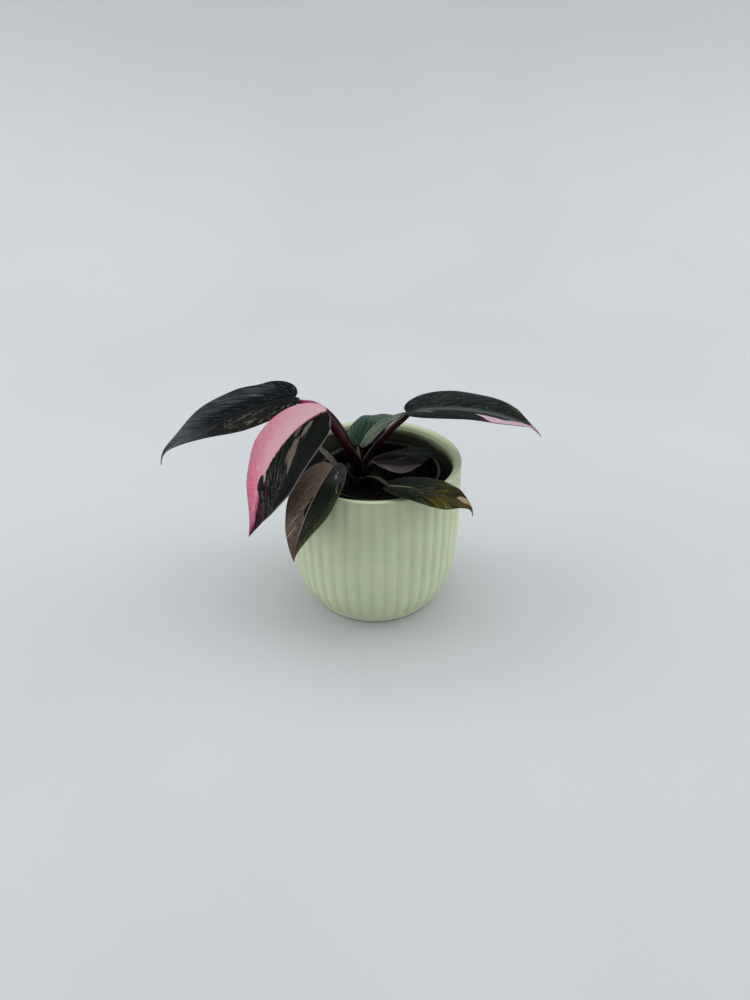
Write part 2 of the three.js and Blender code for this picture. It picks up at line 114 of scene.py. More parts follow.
# Angles are in degrees: a heading along the midrib, its pitch from base to tip, the hook at its end,
# the blade's roll, the folds of its halves and their curl. left and right are the halves' widths.
# ripple is the sway of the margin: its height, how many waves from base to tip, and their phase.
# drawn_tip narrows a blade, from a share of its length on, to a share of its width. dent is a notch in
# the margin: its side, 1 for the left, its place and spread along the margin, and its share of the
# width. A petiole has three points before the base, and radii by the stem and by the blade. arch lifts
# its upper part, and wing widens its lower part by a share.
LEAVES = {
    "upper_left": Leaf(
        base=(-62.8, 42, 152.8), heading=191, turn=-2, pitch=-6, tip_pitch=-37, ease=1.08,
        hook=-51, roll=0, tip_roll=-12, fold_left=11, fold_right=23, curl=-23,
        length=126, left=29, right=30, widest=0.33, lobe=6.3, fullness=0.19, tail=0.36,
        ripple=(1.7, 1.7, 0.14), dent=(-1, 0.315, 0.03, 0.1), arch=3.9, wing=0.15,
        petiole=((-13.5, 4, 111), (-26.5, 7, 159.5), (-45, 27, 144.5)), radii=(2.7, 2.2),
    ),
    "pink_half": Leaf(
        base=(-33.3, -28.3, 172.4), heading=199, turn=-8, pitch=-4, tip_pitch=-86, ease=0.55,
        hook=15, roll=4, tip_roll=-11, fold_left=-31, fold_right=1, curl=17,
        length=118.5, left=30.4, right=32, widest=0.42, lobe=3.2, fullness=0.36, tail=0.2,
        ripple=(0.5, 3.2, 0.2), wing=0.2,
        petiole=((-13.5, -3, 109), (-8, -9, 125), (-23, -18, 138.5)), radii=(2.8, 2.6),
    ),
    "front_left": Leaf(
        base=(-29.4, -37.2, 133.2), heading=239, turn=-7, pitch=-20, tip_pitch=-70, ease=0.93,
        hook=-16, roll=3, tip_roll=2, fold_left=37, fold_right=12, curl=-41,
        length=76.4, left=24, right=23.4, widest=0.35, lobe=3.6, fullness=0.35, tail=0.21,
        ripple=(0.5, 3.0, 0.1),
        petiole=((-13, -5, 98.5), (-18.5, -16, 112.5), (-23.5, -24, 128)), radii=(2.3, 1.9),
    ),
    "upper_right": Leaf(
        base=(25.6, 1.3, 158), heading=-3, turn=-1, pitch=12, tip_pitch=-31, ease=1.04,
        hook=-23, roll=-4, tip_roll=3, fold_left=16, fold_right=17, curl=-22,
        length=106, left=28, right=26.7, widest=0.33, lobe=4.4, fullness=0.48, tail=0.18,
        ripple=(0.6, 2.6, 0.3), drawn_tip=(0.87, 0.36),
        petiole=((-8, 0, 112), (-6.5, 0.5, 124), (13, 1, 143)), radii=(2.7, 2.5),
    ),
    "newest": Leaf(
        base=(-10.1, 6.9, 127.6), heading=55, turn=1, pitch=54, tip_pitch=-33, ease=0.57,
        hook=-6, roll=-9, tip_roll=-8, fold_left=8, fold_right=24, curl=-14,
        length=68, left=21.4, right=20.5, widest=0.37, lobe=2, fullness=0.29, tail=0.29,
        ripple=(0.8, 3.4, 0.45),
        petiole=((-10, 6, 109), (-8.5, 8.5, 116), (-9.5, 7.5, 122)), radii=(1.8, 1.6),
    ),
    "inner_front": Leaf(
        base=(1, -4.9, 119.8), heading=9, turn=7, pitch=-1, tip_pitch=-21, ease=1,
        hook=-13, roll=-18, tip_roll=18, fold_left=21, fold_right=7, curl=-33,
        length=38.6, left=14.7, right=16.4, widest=0.34, lobe=2.7, fullness=0.35, tail=0.23,
        ripple=(0.3, 2.6, 0),
        petiole=((-9, -2, 107), (-4, -3, 113), (-3, -4, 119)), radii=(2.2, 1.5),
    ),
    "inner_back": Leaf(
        base=(14.6, 17.7, 113.2), heading=5, turn=7, pitch=9, tip_pitch=-16, ease=1,
        hook=-25, roll=-9, tip_roll=11, fold_left=9, fold_right=7, curl=-35,
        length=36, left=13.1, right=17.7, widest=0.34, lobe=8, fullness=0.35, tail=0.27,
        ripple=(0.5, 3.2, 0.6),
        petiole=((-8, 3, 102), (-3, 6, 110), (5, 15, 112)), radii=(2.2, 1.4),
    ),
    "front_right": Leaf(
        base=(12.2, -49.1, 123.4), heading=-18, turn=-1, pitch=8, tip_pitch=-27, ease=1.06,
        hook=-72, roll=-6, tip_roll=5, fold_left=17, fold_right=18, curl=-33,
        length=65.6, left=17.8, right=19, widest=0.52, lobe=6.5, fullness=0.3, tail=0.24,
        ripple=(0.5, 2.8, 0.2), drawn_tip=(0.92, 0.5),
        petiole=((-8, -4.5, 100), (-4.5, -12, 112), (0, -32, 123)), radii=(2.4, 1.6),
    ),
}

BLADE = Dimensions(
    half=0.33,  # half the thickness
    ridge=1.0,  # depth of the midrib underneath, at the base
    ridge_spread=1.1,
    groove=0.28,  # depth of the midrib's groove on top
    groove_spread=0.8,
    thinning=0.45,  # share of the thickness lost at the margin
    hook_from=0.85,  # share of the midrib after which its hook begins
    quilting=0.16,  # rise of the blade between its side veins
    rows=96,
    columns=26,
    lobe_share=0.36,  # of a half's rows, those that end on its lobe
    lobe_reach=(-1.35, -1.05),  # control points behind the base, for a lobe of 1
    shoulder=0.42,  # control point beyond the widest place, as a share of the way to the tip
    fan_share=0.2,  # of a half's rows, those that start at the base
    foot_spread=1.05,  # crowds the rows towards the base
    column_spread=1.25,  # crowds the columns towards the midrib
    vein_bow=0.12,  # how far the rows bow towards the base
    vein_lean=1.75,  # run along the midrib for each 1 across, at the midrib
    vein_bend=0.6,  # further run of a vein by the margin
    vein_fan=14,  # spread of the veins that fan out of the base
    fan_near=0.4,  # mm from the midrib, within which they no longer fan out
    fan_most=3,  # slope beyond which they all count as one vein
    vein_spacing=6.5,  # along the midrib
)

# How a patch of colour on a leaf grows with its stated size, how far its two noises tear it, and
# where its soft edge lies. A blotch has a softer edge.
PATCH = Dimensions(wide=1.4, long=4.4, tongue_tear=4, grain_tear=1.5, edge=(1.15, 0.85))
BLOTCH_EDGE = (1.25, 0.75)

# How much a sheath's edges curl up and are torn, as shares of its half width, and its unevenness.
SHEATH_EDGE = Dimensions(curl=0.25, torn=0.12, uneven=0.25)

# look is the material: its name, dark, middle and light tones, and whether it is finely speckled.
SHEATHS = {
    "dried_sheath_long": Dimensions(
        path=[(-14, -2, 101), (-22.4, -3, 108), (-29.9, 0, 115.3), (-36, 4, 121), (-44, 9, 127)],
        width=6.8, thickness=0.9, taper=0.3, slot="dried_sheath",
        look=("dried_sheath", "#3a352f", "#6a635b", "#938a80", False),
    ),
    "dried_sheath_short": Dimensions(
        path=[(-15, -6, 101), (-17.5, -8.5, 106), (-19.5, -9, 113), (-20, -8, 120)],
        width=5, thickness=0.9, taper=0.7, slot="dried_sheath",
        look=("speckled_sheath", "#2a1d1a", "#5e4943", "#8d7d72", True),
    ),
    "growth_sheath": Dimensions(
        path=[(-10, -4.5, 113), (-10.5, -5, 120), (-11.5, -4.5, 126), (-12, -3.5, 131.5)],
        width=4.5, thickness=0.9, taper=0.75, slot="growth_sheath",
        look=("growth_sheath", "#4a3a33", "#7f6b60", "#a8948a", False),
    ),
}

CAMERA = Dimensions(place=(0.6, -521.8, 399.1), pitch=31.25, roll=-0.6, focal_px=770, frame_px=1000)
STUDIO = Dimensions(front=-1.6, depth=1.1, width=2.4, height=1.6, bend=0.45)  # metres
# Daylight from both sides and overhead: place and size in metres, power in watts, and colour.
LAMPS = {
    "overhead": ((0, 0.35, 1.7), (2.4, 1.6), 15.5, (1, 1, 1)),
    "window_left": ((-1.7, 0.25, 0.75), (1.6, 1.3), 13, (0.97, 0.985, 1.0)),
    "window_right": ((1.7, 0.25, 0.75), (1.6, 1.3), 11.5, (0.97, 0.985, 1.0)),
}
LIT_POINT = (0, 0, 0.08)
ROOM = Dimensions(colour=(0.98, 0.99, 1.0, 1), strength=0.65)

# ---------------------------------------------------------------- small helpers


def mix(a, b, share):
    return a + (b - a) * share


def smooth(value, low, high):
    share = np.clip((value - low) / (high - low), 0, 1)
    return share * share * (3 - 2 * share)


def bezier(a, b, c, d, t):
    s = 1 - t
    return a * s**3 + 3 * b * s * s * t + 3 * c * s * t * t + d * t**3


def bell(value, centre, spread):
    return np.exp(-(((value - centre) / spread) ** 2))


def unit(vectors):
    length = np.linalg.norm(vectors, axis=-1, keepdims=True)
    return vectors / np.maximum(length, 1e-12)


def catmull_rom(points, samples):
    """A smooth line through points, sampled evenly between each two."""
    points = np.asarray(points, float)
    ends = np.vstack([2 * points[0] - points[1], points, 2 * points[-1] - points[-2]])
    u = np.linspace(0, len(points) - 1, samples)
    k = np.minimum(u.astype(int), len(points) - 2)
    t = (u - k)[:, None]
    a, b, c, d = ends[k], ends[k + 1], ends[k + 2], ends[k + 3]
    return b + 0.5 * t * (c - a + t * (2 * a - 5 * b + 4 * c - d + t * (3 * (b - c) + d - a)))


def make_mesh(name, vertices, faces, materials, face_slots=None, layers=None):
    """An object from vertices in mm. layers maps a UV layer's name to one pair per vertex."""
    mesh = bpy.data.meshes.new(name)
    points = (np.asarray(vertices, float) * MM).tolist()
    mesh.from_pydata(points, [], [[int(corner) for corner in face] for face in faces])
    corner = np.zeros(len(mesh.loops), int)
    mesh.loops.foreach_get("vertex_index", corner)
    for layer, pairs in (layers or {}).items():
        uv = mesh.uv_layers.new(name=layer)
        uv.data.foreach_set("uv", np.asarray(pairs, np.float32)[corner].ravel())
    for material in materials:
        mesh.materials.append(material)
    mesh.polygons.foreach_set("use_smooth", [True] * len(mesh.polygons))
    if face_slots is not None:
        mesh.polygons.foreach_set("material_index", face_slots)
    mesh.update()
    made = bpy.data.objects.new(name, mesh)
    bpy.context.scene.collection.objects.link(made)
    return made


def settle(piece, slot, *nodes):
    """The piece rides on the row's one body and stands for its CAD nodes."""
    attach(piece, "root")
    if nodes:
        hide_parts(*nodes)


def grid_faces(rows, columns):
    """Quads over an open grid of vertices."""
    corners = (k * columns + i for k in range(rows - 1) for i in range(columns - 1))
    return [(a, a + 1, a + 1 + columns, a + columns) for a in corners]


def fan_faces(centre, first, count, turned=False):
    """Triangles between a centre and the ring that begins with the vertex first."""
    edges = ((first + i, first + (i + 1) % count) for i in range(count))
    return [(centre, b, a) if turned else (centre, a, b) for a, b in edges]


def ring_faces(rings, count, first=0):
    """Quads that join rings of count vertices each."""
    faces = []
    for r in range(rings - 1):
        for i in range(count):
            a = first + r * count + i
            b = first + r * count + (i + 1) % count
            faces.append((a, b, b + count, a + count))
    return faces


def vein_sweep(x, y, half_width):
    """Where the side vein through a flat point of a blade springs from the midrib, in mm. Veins lean
    to the tip and bend to it further out. Those of the lobes fan out of the base, below 0."""
    foot = x - BLADE.vein_lean * y - BLADE.vein_bend * y * y / half_width
    fan = BLADE.vein_fan * np.maximum(foot / np.maximum(y, BLADE.fan_near), -BLADE.fan_most)
    return np.where(foot > 0, foot, fan)


# ---------------------------------------------------------------- materials


class Value:
    """What a shader node gives out. It takes part in sums and products like a number. Calling it gives
    a smooth ramp of it, which goes from one level to the other between two of its own values."""

    def __init__(self, shade, socket):
        self.shade = shade
        self.socket = socket

    def __call__(self, low, high, start=0.0, end=1.0):
        inputs = {"Value": self, "From Min": low, "From Max": high, "To Min": start, "To Max": end}
        return self.shade.node("ShaderNodeMapRange", inputs, interpolation_type="SMOOTHSTEP")

    def __add__(self, other):
        return self.shade.math("ADD", self, other)

    def __sub__(self, other):
        return self.shade.math("SUBTRACT", self, other)

    def __rsub__(self, other):
        return self.shade.math("SUBTRACT", other, self)

    def __mul__(self, other):
        return self.shade.math("MULTIPLY", self, other)

    __rmul__ = __mul__

    def __abs__(self):
        return self.shade.math("ABSOLUTE", self)

    def sway(self, noise_value, reach):
        """The value moved to either side by a noise."""
        return self + (noise_value - 0.5) * reach


class Shade:
    """One material's node graph, with short calls for the nodes that the looks are built from."""

    def __init__(self, name, roughness=0.5, specular=0.5):
        self.material = bpy.data.materials.new(name)
        self.material.use_nodes = True
        self.tree = self.material.node_tree
        self.shader = self.tree.nodes["Principled BSDF"]
        self.shader.inputs["Roughness"].default_value = roughness
        self.shader.inputs["Specular IOR Level"].default_value = specular
        self.colour = None

    def put(self, value, socket):
        if isinstance(value, Value):
            self.tree.links.new(value.socket, socket)
        elif isinstance(value, str):
            socket.default_value = (*linear(value), 1)
        else:
            socket.default_value = value

    def node(self, kind, inputs=(), output=0, **settings):
        """Adds a node with its inputs filled, by name or number, and gives out one of its outputs."""
        made = self.tree.nodes.new(kind)
        for key, value in settings.items():
            setattr(made, key, value)
        for key, value in dict(inputs).items():
            self.put(value, made.inputs[key])
        return Value(self, made.outputs[output])

    def math(self, operation, *values):
        return self.node("ShaderNodeMath", enumerate(values), operation=operation)

    def uv(self, layer):
        return self.node("ShaderNodeUVMap", uv_map=layer)

    def place(self):
        return self.node("ShaderNodeTexCoord", output="Object")

    def split(self, vector):
        first = self.node("ShaderNodeSeparateXYZ", {0: vector})
        return [Value(self, socket) for socket in first.socket.node.outputs]

    def join(self, x, y, z=0.0):
        return self.node("ShaderNodeCombineXYZ", enumerate((x, y, z)))

    def noise(self, vector, scale, detail=3.0, rough=0.5):
        inputs = {"Vector": vector, "Scale": scale, "Detail": detail, "Roughness": rough}
        return self.node("ShaderNodeTexNoise", inputs)

    def streaks(self, u, fine, v, long, shift=0.0, detail=3, rough=0.6):
        """Noise scaled apart in two coordinates, so that it is drawn out along one of them."""
        return self.noise(self.join(u * fine, v * long, shift), 1.0, detail, rough)

    def vein_wave(self, sweep):
        """0 on each side vein of a blade and 0.5 halfway between two."""
        return self.math("PINGPONG", sweep * (UV_SCALE / BLADE.vein_spacing), 0.5)

    def cells(self, vector, scale):
        return self.node("ShaderNodeTexVoronoi", {"Vector": vector, "Scale": scale})

    def mix(self, share, first, second):
        return self.node("ShaderNodeMix", {"Factor": share, 6: first, 7: second}, 2, data_type="RGBA")

    def start(self, share, first, second):
        """Begins the colour again, as a mix of two."""
        self.colour = self.mix(share, first, second)

    def lay(self, tone, *masks):
        """Lays a tone over the colour, as much as the product of the masks and numbers says."""
        self.colour = self.mix(math.prod(masks[1:], start=masks[0]), self.colour, tone)
        return self.colour

    def bump(self, height, strength, distance):
        inputs = {"Strength": strength, "Distance": distance, "Height": height}
        self.put(self.node("ShaderNodeBump", inputs), self.shader.inputs["Normal"])

    def finish(self, roughness=None):
        self.put(self.colour, self.shader.inputs["Base Color"])
        if roughness is not None:
            self.put(roughness, self.shader.inputs["Roughness"])
        return self.material


def linear(text):
    """An sRGB colour such as #20301f as linear numbers."""
    values = [int(text[i : i + 2], 16) / 255 for i in (1, 3, 5)]
    return [v / 12.92 if v <= 0.04045 else ((v + 0.055) / 1.055) ** 2.4 for v in values]


def planter_material():
    """Satin pistachio glaze: cloudy, thin and pale on the crowns of the ribs, pooled between them. The
    paler crowns and darker valleys are partly a painted highlight and painted shade.
    """
    s = Shade("planter_glaze", 0.45, 0.7)
    place = s.place()
    x, _, z = s.split(place)
    relief, depth, _ = s.split(s.uv("relief"))
    clouds = s.noise(place, 28, 3)
    mottle = s.noise(place, 420, 2)
    s.start(clouds(0.35, 0.65), "#bdca9f", "#c4d0a8")
    # paler on the crowns and darker in the valleys: thin and pooled glaze, and also a painted highlight on
    # the crowns and painted shade between them
    s.lay("#9dac83", relief(0.45, 0.0, 0, 0.2))
    s.lay("#ccd8ba", relief(0.7, 1.0, 0, 0.25))
    s.lay("#d2ddc0", mottle(0.4, 0.7, 0, 0.08))
    s.lay("#8b9976", s.cells(place, 260)(0.02, 0.05, 0.2, 0))
    # painted shade, greyer towards the rim; painted light, paler by the foot; and painted contact shade, a
    # dark line where it stands
    s.lay("#a6b28a", z(0.07, 0.12, 0, 0.5))
    s.lay("#dfe9cb", z(0.012, 0.002, 0, 0.5))
    s.lay("#565d49", z(0.0015, 0.0007, 0, 0.8))
    # painted shade in the hollow: it darkens below the rim, soonest on the left and latest on the right
    painted_shade_depth = depth.sway(clouds, 0.07) + x(0.03, 0.06, 0, -0.02) + x(-0.008, -0.03, 0, 0.025)
    s.lay("#1d221a", depth(0.0, 0.01), painted_shade_depth(0.01, 0.075, 0, 0.95))
    s.bump(s.noise(place, 90, 2), 0.1, 0.0004)
    return s.finish(mottle(0.3, 0.7, 0.38, 0.5))


def nursery_material():
    """Thin black plastic, dusty, with fine moulding lines round it."""
    s = Shade("nursery_plastic", 0.4, 0.22)
    place = s.place()
    lines = s.math("SINE", s.split(place)[2] * 2600)
    dust = s.noise(place, 60, 4, 0.6)
    s.start(dust(0.45, 0.75, 0, 0.35), "#060707", "#1c1e1e")
    s.bump(lines * 0.15 + dust, 0.15, 0.0004)
    return s.finish(dust(0.35, 0.7, 0.32, 0.6))


def soil_material():
    """Dark potting mix: peat crumbs, paler fibres and damp hollows."""
    s = Shade("soil_mix", 0.95, specular=0.15)
    crumbs = s.noise(s.place(), 520, 5, 0.65)
    clods = s.noise(s.place(), 110, 4, 0.6)
    s.start(clods(0.35, 0.68), "#040403", "#0b0908")
    s.lay("#1e1812", crumbs(0.56, 0.72, 0, 0.6))
    s.bump(crumbs + clods, 0.8, 0.0012)
    return s.finish(crumbs(0.3, 0.7, 0.8, 1.0))


def crumb_material():
    """Bits of bark and coir on the soil."""
    s = Shade("soil_crumbs", 0.9, specular=0.2)
    grain = s.noise(s.place(), 700, 4, 0.6)
    s.start(s.noise(s.place(), 90, 2)(0.4, 0.62), "#080605", "#17110d")
    s.lay("#2d241c", grain(0.5, 0.75, 0, 0.6))
    s.bump(grain, 0.6, 0.0006)
    return s.finish()


def stem_material():
    """Dull burgundy-brown bark, corky and ringed by leaf scars."""
    s = Shade("stem_bark", 0.6)
    along, round_it, _ = s.split(s.uv("rod"))
    cork = s.streaks(along, 60, round_it, 14, detail=4, rough=0.5)
    s.start(s.noise(s.place(), 240, 3)(0.35, 0.65), "#130a09", "#241015")
    s.lay("#4d3f35", cork(0.55, 0.72, 0, 0.7))
    s.bump(cork, 0.5, 0.0008)
    return s.finish(cork(0.4, 0.7, 0.5, 0.8))


def petiole_material(name, dark, mid, light, end, end_from):
    """Satin burgundy stalk with two ridges beside its groove, with a painted highlight along each, fine
    lengthwise streaks and a brighter flush towards the blade. The flush begins `end_from` of a turn away
    from the groove."""
    s = Shade(f"petiole_{name}", 0.36, 0.08)
    along, round_it, _ = s.split(s.uv("rod"))
    streaks = s.streaks(along, 5, round_it, 34, detail=4)
    blotches = s.noise(s.place(), 130, 3)
    # round_it is 0.5 on the groove, and the two ridges stand 0.1 to either side of it
    from_groove = abs(round_it - 0.5)
    from_ridge = abs(from_groove - 0.105)
    flush = along.sway(streaks, 0.3)(0.35, 0.8)
    s.start(blotches(0.35, 0.68), dark, mid)
    s.lay(end, flush, from_groove(end_from - 0.07, end_from + 0.05, 0, 0.9))
    s.lay(dark, streaks(0.5, 0.7, 0, 0.3))
    # a painted highlight along each ridge, from a little above the stem
    s.lay(light, from_ridge(0.026, 0.006, 0, 0.85), along(0.08, 0.25))
    s.bump(streaks, 0.25, 0.0004)
    return s.finish(blotches(0.3, 0.7, 0.3, 0.45))


def sheath_material(name, dark, mid, light, speckled):
    """Dry, papery tissue with lengthwise fibres, darker down by the stem."""
    s = Shade(name, 0.8, specular=0.25)
    along, across, _ = s.split(s.uv("strap"))
    fibres = s.streaks(along, 3, across, 16)
    spots = s.noise(s.place(), 900 if speckled else 260, 3)
    s.start(fibres(0.38, 0.6), dark, mid)
    s.lay(light, fibres(0.55, 0.72))
    s.lay(dark, spots(0.55, 0.66, 0, 0.8 if speckled else 0.35))
    s.lay("#0f0d0c", along(1.9, 0.3, 0, 0.85))
    s.bump(fibres, 0.7, 0.0006)
    return s.finish(spots(0.3, 0.7, 0.7, 0.9))


class LeafShade(Shade):
    """The upper face of a blade. `along` and `out` place a point as shares of the midrib's length and
    of the half's width, left positive. `sweep` is the same all along one side vein, and `across` is
    the way out from the midrib, both with UV_SCALE as 1. `far` is 0 on the midrib and 1 on the margin.
    `left` and `right` mask the halves. Of the noises, `ragged` and `specks` are even all ways, and
    `broad`, `tongues`, `grain` and `fibres`, from coarse to fine, follow the side veins."""

    def __init__(self, name, leaf, seed):
        super().__init__(f"leaf_{name}", 0.4, 0.025)
        self.leaf = leaf
        self.flat = self.uv("blade")
        x, y, _ = self.split(self.flat)
        self.along = x * (UV_SCALE / leaf.length)
        self.out = y * (2 * UV_SCALE / (leaf.left + leaf.right))
        self.off_midrib = abs(self.out)
        self.sweep, self.across, _ = self.split(self.uv("grain"))
        reach = self.split(self.uv("vein"))[1]
        self.far = abs(reach)
        self.left = reach(-0.001, 0.001)
        self.right = 1 - self.left
        self.ragged = self.noise(self.join(x, y, seed), 26, 4, 0.6)
        self.specks = self.noise(self.join(x, y, seed + 3.0), 90, 2, 0.5)
        self.grain, self.fibres, self.broad, self.tongues = (
            self.streaks(self.sweep, fine, self.across, long, seed + 5.3 * k)
            for k, (fine, long) in enumerate(((75, 16), (130, 12), (17, 10), (44, 6)))
        )

    def from_centre(self, du, dv):
        return self.math("SQRT", du * du + dv * dv)

    def blotch(self, centre, size):
        """A soft oval, 1 inside, placed and sized in shares."""
        du = (self.along - centre[0]) * (1 / size[0])
        dv = (self.out - centre[1]) * (1 / size[1])
        return self.from_centre(du, dv)(*BLOTCH_EDGE)

    def patch(self, at, wide, long, torn):
        """A patch of colour drawn out along the veins, torn at both ends. wide and long are in mm."""
        half_width = self.leaf.left if at[1] > 0 else self.leaf.right
        y = abs(at[1]) * half_width
        sweep = float(vein_sweep(at[0] * self.leaf.length, y, half_width)) / UV_SCALE
        across = math.copysign(y, at[1]) / UV_SCALE
        du = (self.sweep - sweep) * (UV_SCALE * PATCH.wide / wide)
        dv = (self.across - across) * (UV_SCALE * PATCH.long / long)
        far = self.from_centre(du, dv).sway(self.tongues, PATCH.tongue_tear * torn)
        return far.sway(self.grain, PATCH.grain_tear * torn)(*PATCH.edge)

    def flecks(self, fill):
        """Short, thin chips along the veins, denser as fill nears 1."""
        high = mix(0.72, 0.56, fill)
        return self.grain(high, high + 0.05) * self.ragged(0.46, 0.54)

    def ground(self, dark, tone, sheen):
        """The blade's colour: clouds, then thin paler fibres along the veins in the sheen tone, a painted
        sheen on the fibres.
        """
        self.start(self.broad(0.36, 0.66), dark, tone)
        self.lay(sheen, self.fibres(0.5, 0.72, 0, 0.55))
        return self.lay(dark, self.specks(0.58, 0.72, 0, 0.3))

    def veined(self, vein, midrib, margin, strength, midrib_width):
        """Lays on pale side veins, the midrib and the thin rim."""
        on_vein = self.vein_wave(self.sweep)(0.06, 0.0)
        self.lay(vein, strength, on_vein, self.far(1.0, 0.4))
        narrow = self.off_midrib(midrib_width, midrib_width * 0.35, 0, 0.7)
        self.lay(midrib, narrow, self.along(1.0, 0.6))
        self.lay(margin, self.far(0.975, 0.992, 0, 0.7))

    def close(self):
        """Fine relief along the fibres, and the waxy gloss."""
        cells = self.noise(self.flat, 900, 2)
        self.bump((self.grain + self.fibres) * 0.5 + cells * 0.2, 0.45, 0.0005)
        return self.finish(self.broad(0.3, 0.7, 0.3, 0.48))


def look_upper_left(s):
    """Near-black green, with a painted bluish sheen on the far half, and cream flecks over the near one.
    """
    near = s.ground("#050606", "#0b0e0c", "#191c17")
    # the far half's bluish tones are a painted sheen
    far = s.ground("#040608", "#0a0f11", "#262e33")
    s.start(s.left, far, near)
    # painted sheen: greyer at the tip and over the far half; and a brown cast on the near one
    s.lay("#535a5e", 0.8, s.along(0.5, 0.8), s.broad(0.34, 0.56, 0.45, 1.0))
    s.lay("#566067", 0.6, s.blotch((0.55, -0.62), (0.42, 0.34)), s.fibres(0.46, 0.6))
    s.lay("#4a4338", 0.4, s.blotch((0.32, 0.78), (0.17, 0.26)), s.specks(0.5, 0.62))
    # cream chips in four groups, then sparse ones
    for at, wide, long in (
        ((0.37, 0.5), 8, 20),
        ((0.31, 0.78), 6, 14),
        ((0.13, 0.45), 5, 14),
        ((0.05, 0.5), 6, 12),
    ):
        chips = s.fibres(0.57, 0.62) * s.ragged(0.4, 0.5)
        s.lay("#b5a892", 0.85, s.patch(at, wide, long, 0.3), chips)
    middle = s.left * s.along(0.75, 0.5) * s.far(0.1, 0.3)
    s.lay("#a39c8c", 0.75, middle, s.fibres(0.6, 0.66), s.ragged(0.47, 0.55))
    s.lay("#676d66", 0.6, s.patch((0.22, -0.38), 5, 12, 0.5), s.fibres(0.45, 0.55))
    # bluish streaks on the far half: painted sheen
    s.lay("#4c5459", 0.55, s.right, s.fibres(0.585, 0.62), s.ragged(0.4, 0.52))
    s.veined("#343d41", "#2c3333", "#0c0d0d", 0.3, 0.025)


def look_pink_half(s):
    """One half pink, the other dark and streaked, with a ragged step across the midrib near the tip."""
    wander = (s.ragged - 0.5) * s.along(0.1, 0.5, 0, 0.16)
    step = s.blotch((0.615, -0.05), (0.05, 0.12)) * 0.2
    back = s.along(0.66, 0.73, 0, -0.1) * s.along(1.0, 0.85)
    edge = s.out + wander + step + back
    dark_half = edge(-0.014, 0.01)

    s.start(s.along(0.0, 0.55), "#b9959c", "#c3909b")
    s.lay("#b8637c", 0.8, s.far(0.25, 0.95), s.along(0.0, 0.5, 0.25, 1.0))
    s.lay("#c4537c", s.along(0.42, 0.8), s.far(0.0, 0.7, 0.55, 0.95))
    s.lay("#a83262", s.along(0.78, 0.95, 0, 0.8))
    s.lay("#c5a2a8", s.ragged(0.42, 0.7, 0, 0.4))
    s.lay("#a86a7e", s.fibres(0.5, 0.72, 0, 0.14))
    s.lay("#7c2a48", edge(-0.12, -0.02), s.along(0.6, 0.8), s.grain(0.42, 0.58))
    s.lay("#6d2438", 0.8, edge(-0.045, -0.012), s.along(0.5, 0.1))
    pink = s.lay("#b04a70", s.far(0.96, 0.99, 0, 0.6))

    s.ground("#070a08", "#101611", "#1e2520")
    inner = s.out(0.62, 0.4) * s.along(0.62, 0.5) * s.along(0.12, 0.22)
    s.lay("#4b453d", 0.6, inner, s.broad(0.56, 0.62), s.grain(0.4, 0.6))
    for at, wide, long, tone in (
        ((0.15, 0.15), 5, 12, "#6e6a66"),
        ((0.2, 0.05), 5, 9, "#544f4a"),
        ((0.31, 0.3), 9, 17, "#6f645c"),
        ((0.35, 0.45), 6, 17, "#776b60"),
    ):
        s.lay(s.mix(s.fibres(0.4, 0.62), tone, "#3d3a34"), 0.95, s.patch(at, wide, long, 0.4))
    s.lay("#aea38e", s.patch((0.56, 0.03), 3, 8, 0.5), s.grain(0.35, 0.5))
    outer_end = s.along(0.4, 0.55) * s.out(0.8, 0.55) * s.out(0.0, 0.08)
    s.lay("#857f7e", outer_end, s.fibres(0.56, 0.62, 0, 0.75), s.ragged(0.4, 0.5))
    s.lay("#32172a", s.along(0.58, 0.85, 0, 0.75), s.tongues(0.38, 0.6))
    s.lay("#0b0c0e", s.out(0.5, 0.7, 0, 0.8))
    # painted highlights: pale grey on the lobe by the base and along the margin of the dark half
    s.lay("#666a69", s.along(0.03, 0.0, 0, 0.8), s.far(0.5, 0.9))
    dark = s.lay("#807a78", s.far(0.965, 0.988, 0, 0.85))

    s.start(dark_half, pink, dark)
    s.lay("#5c5957", 0.8, s.off_midrib(0.03, 0.01), s.along(0.12, 0.02), dark_half)


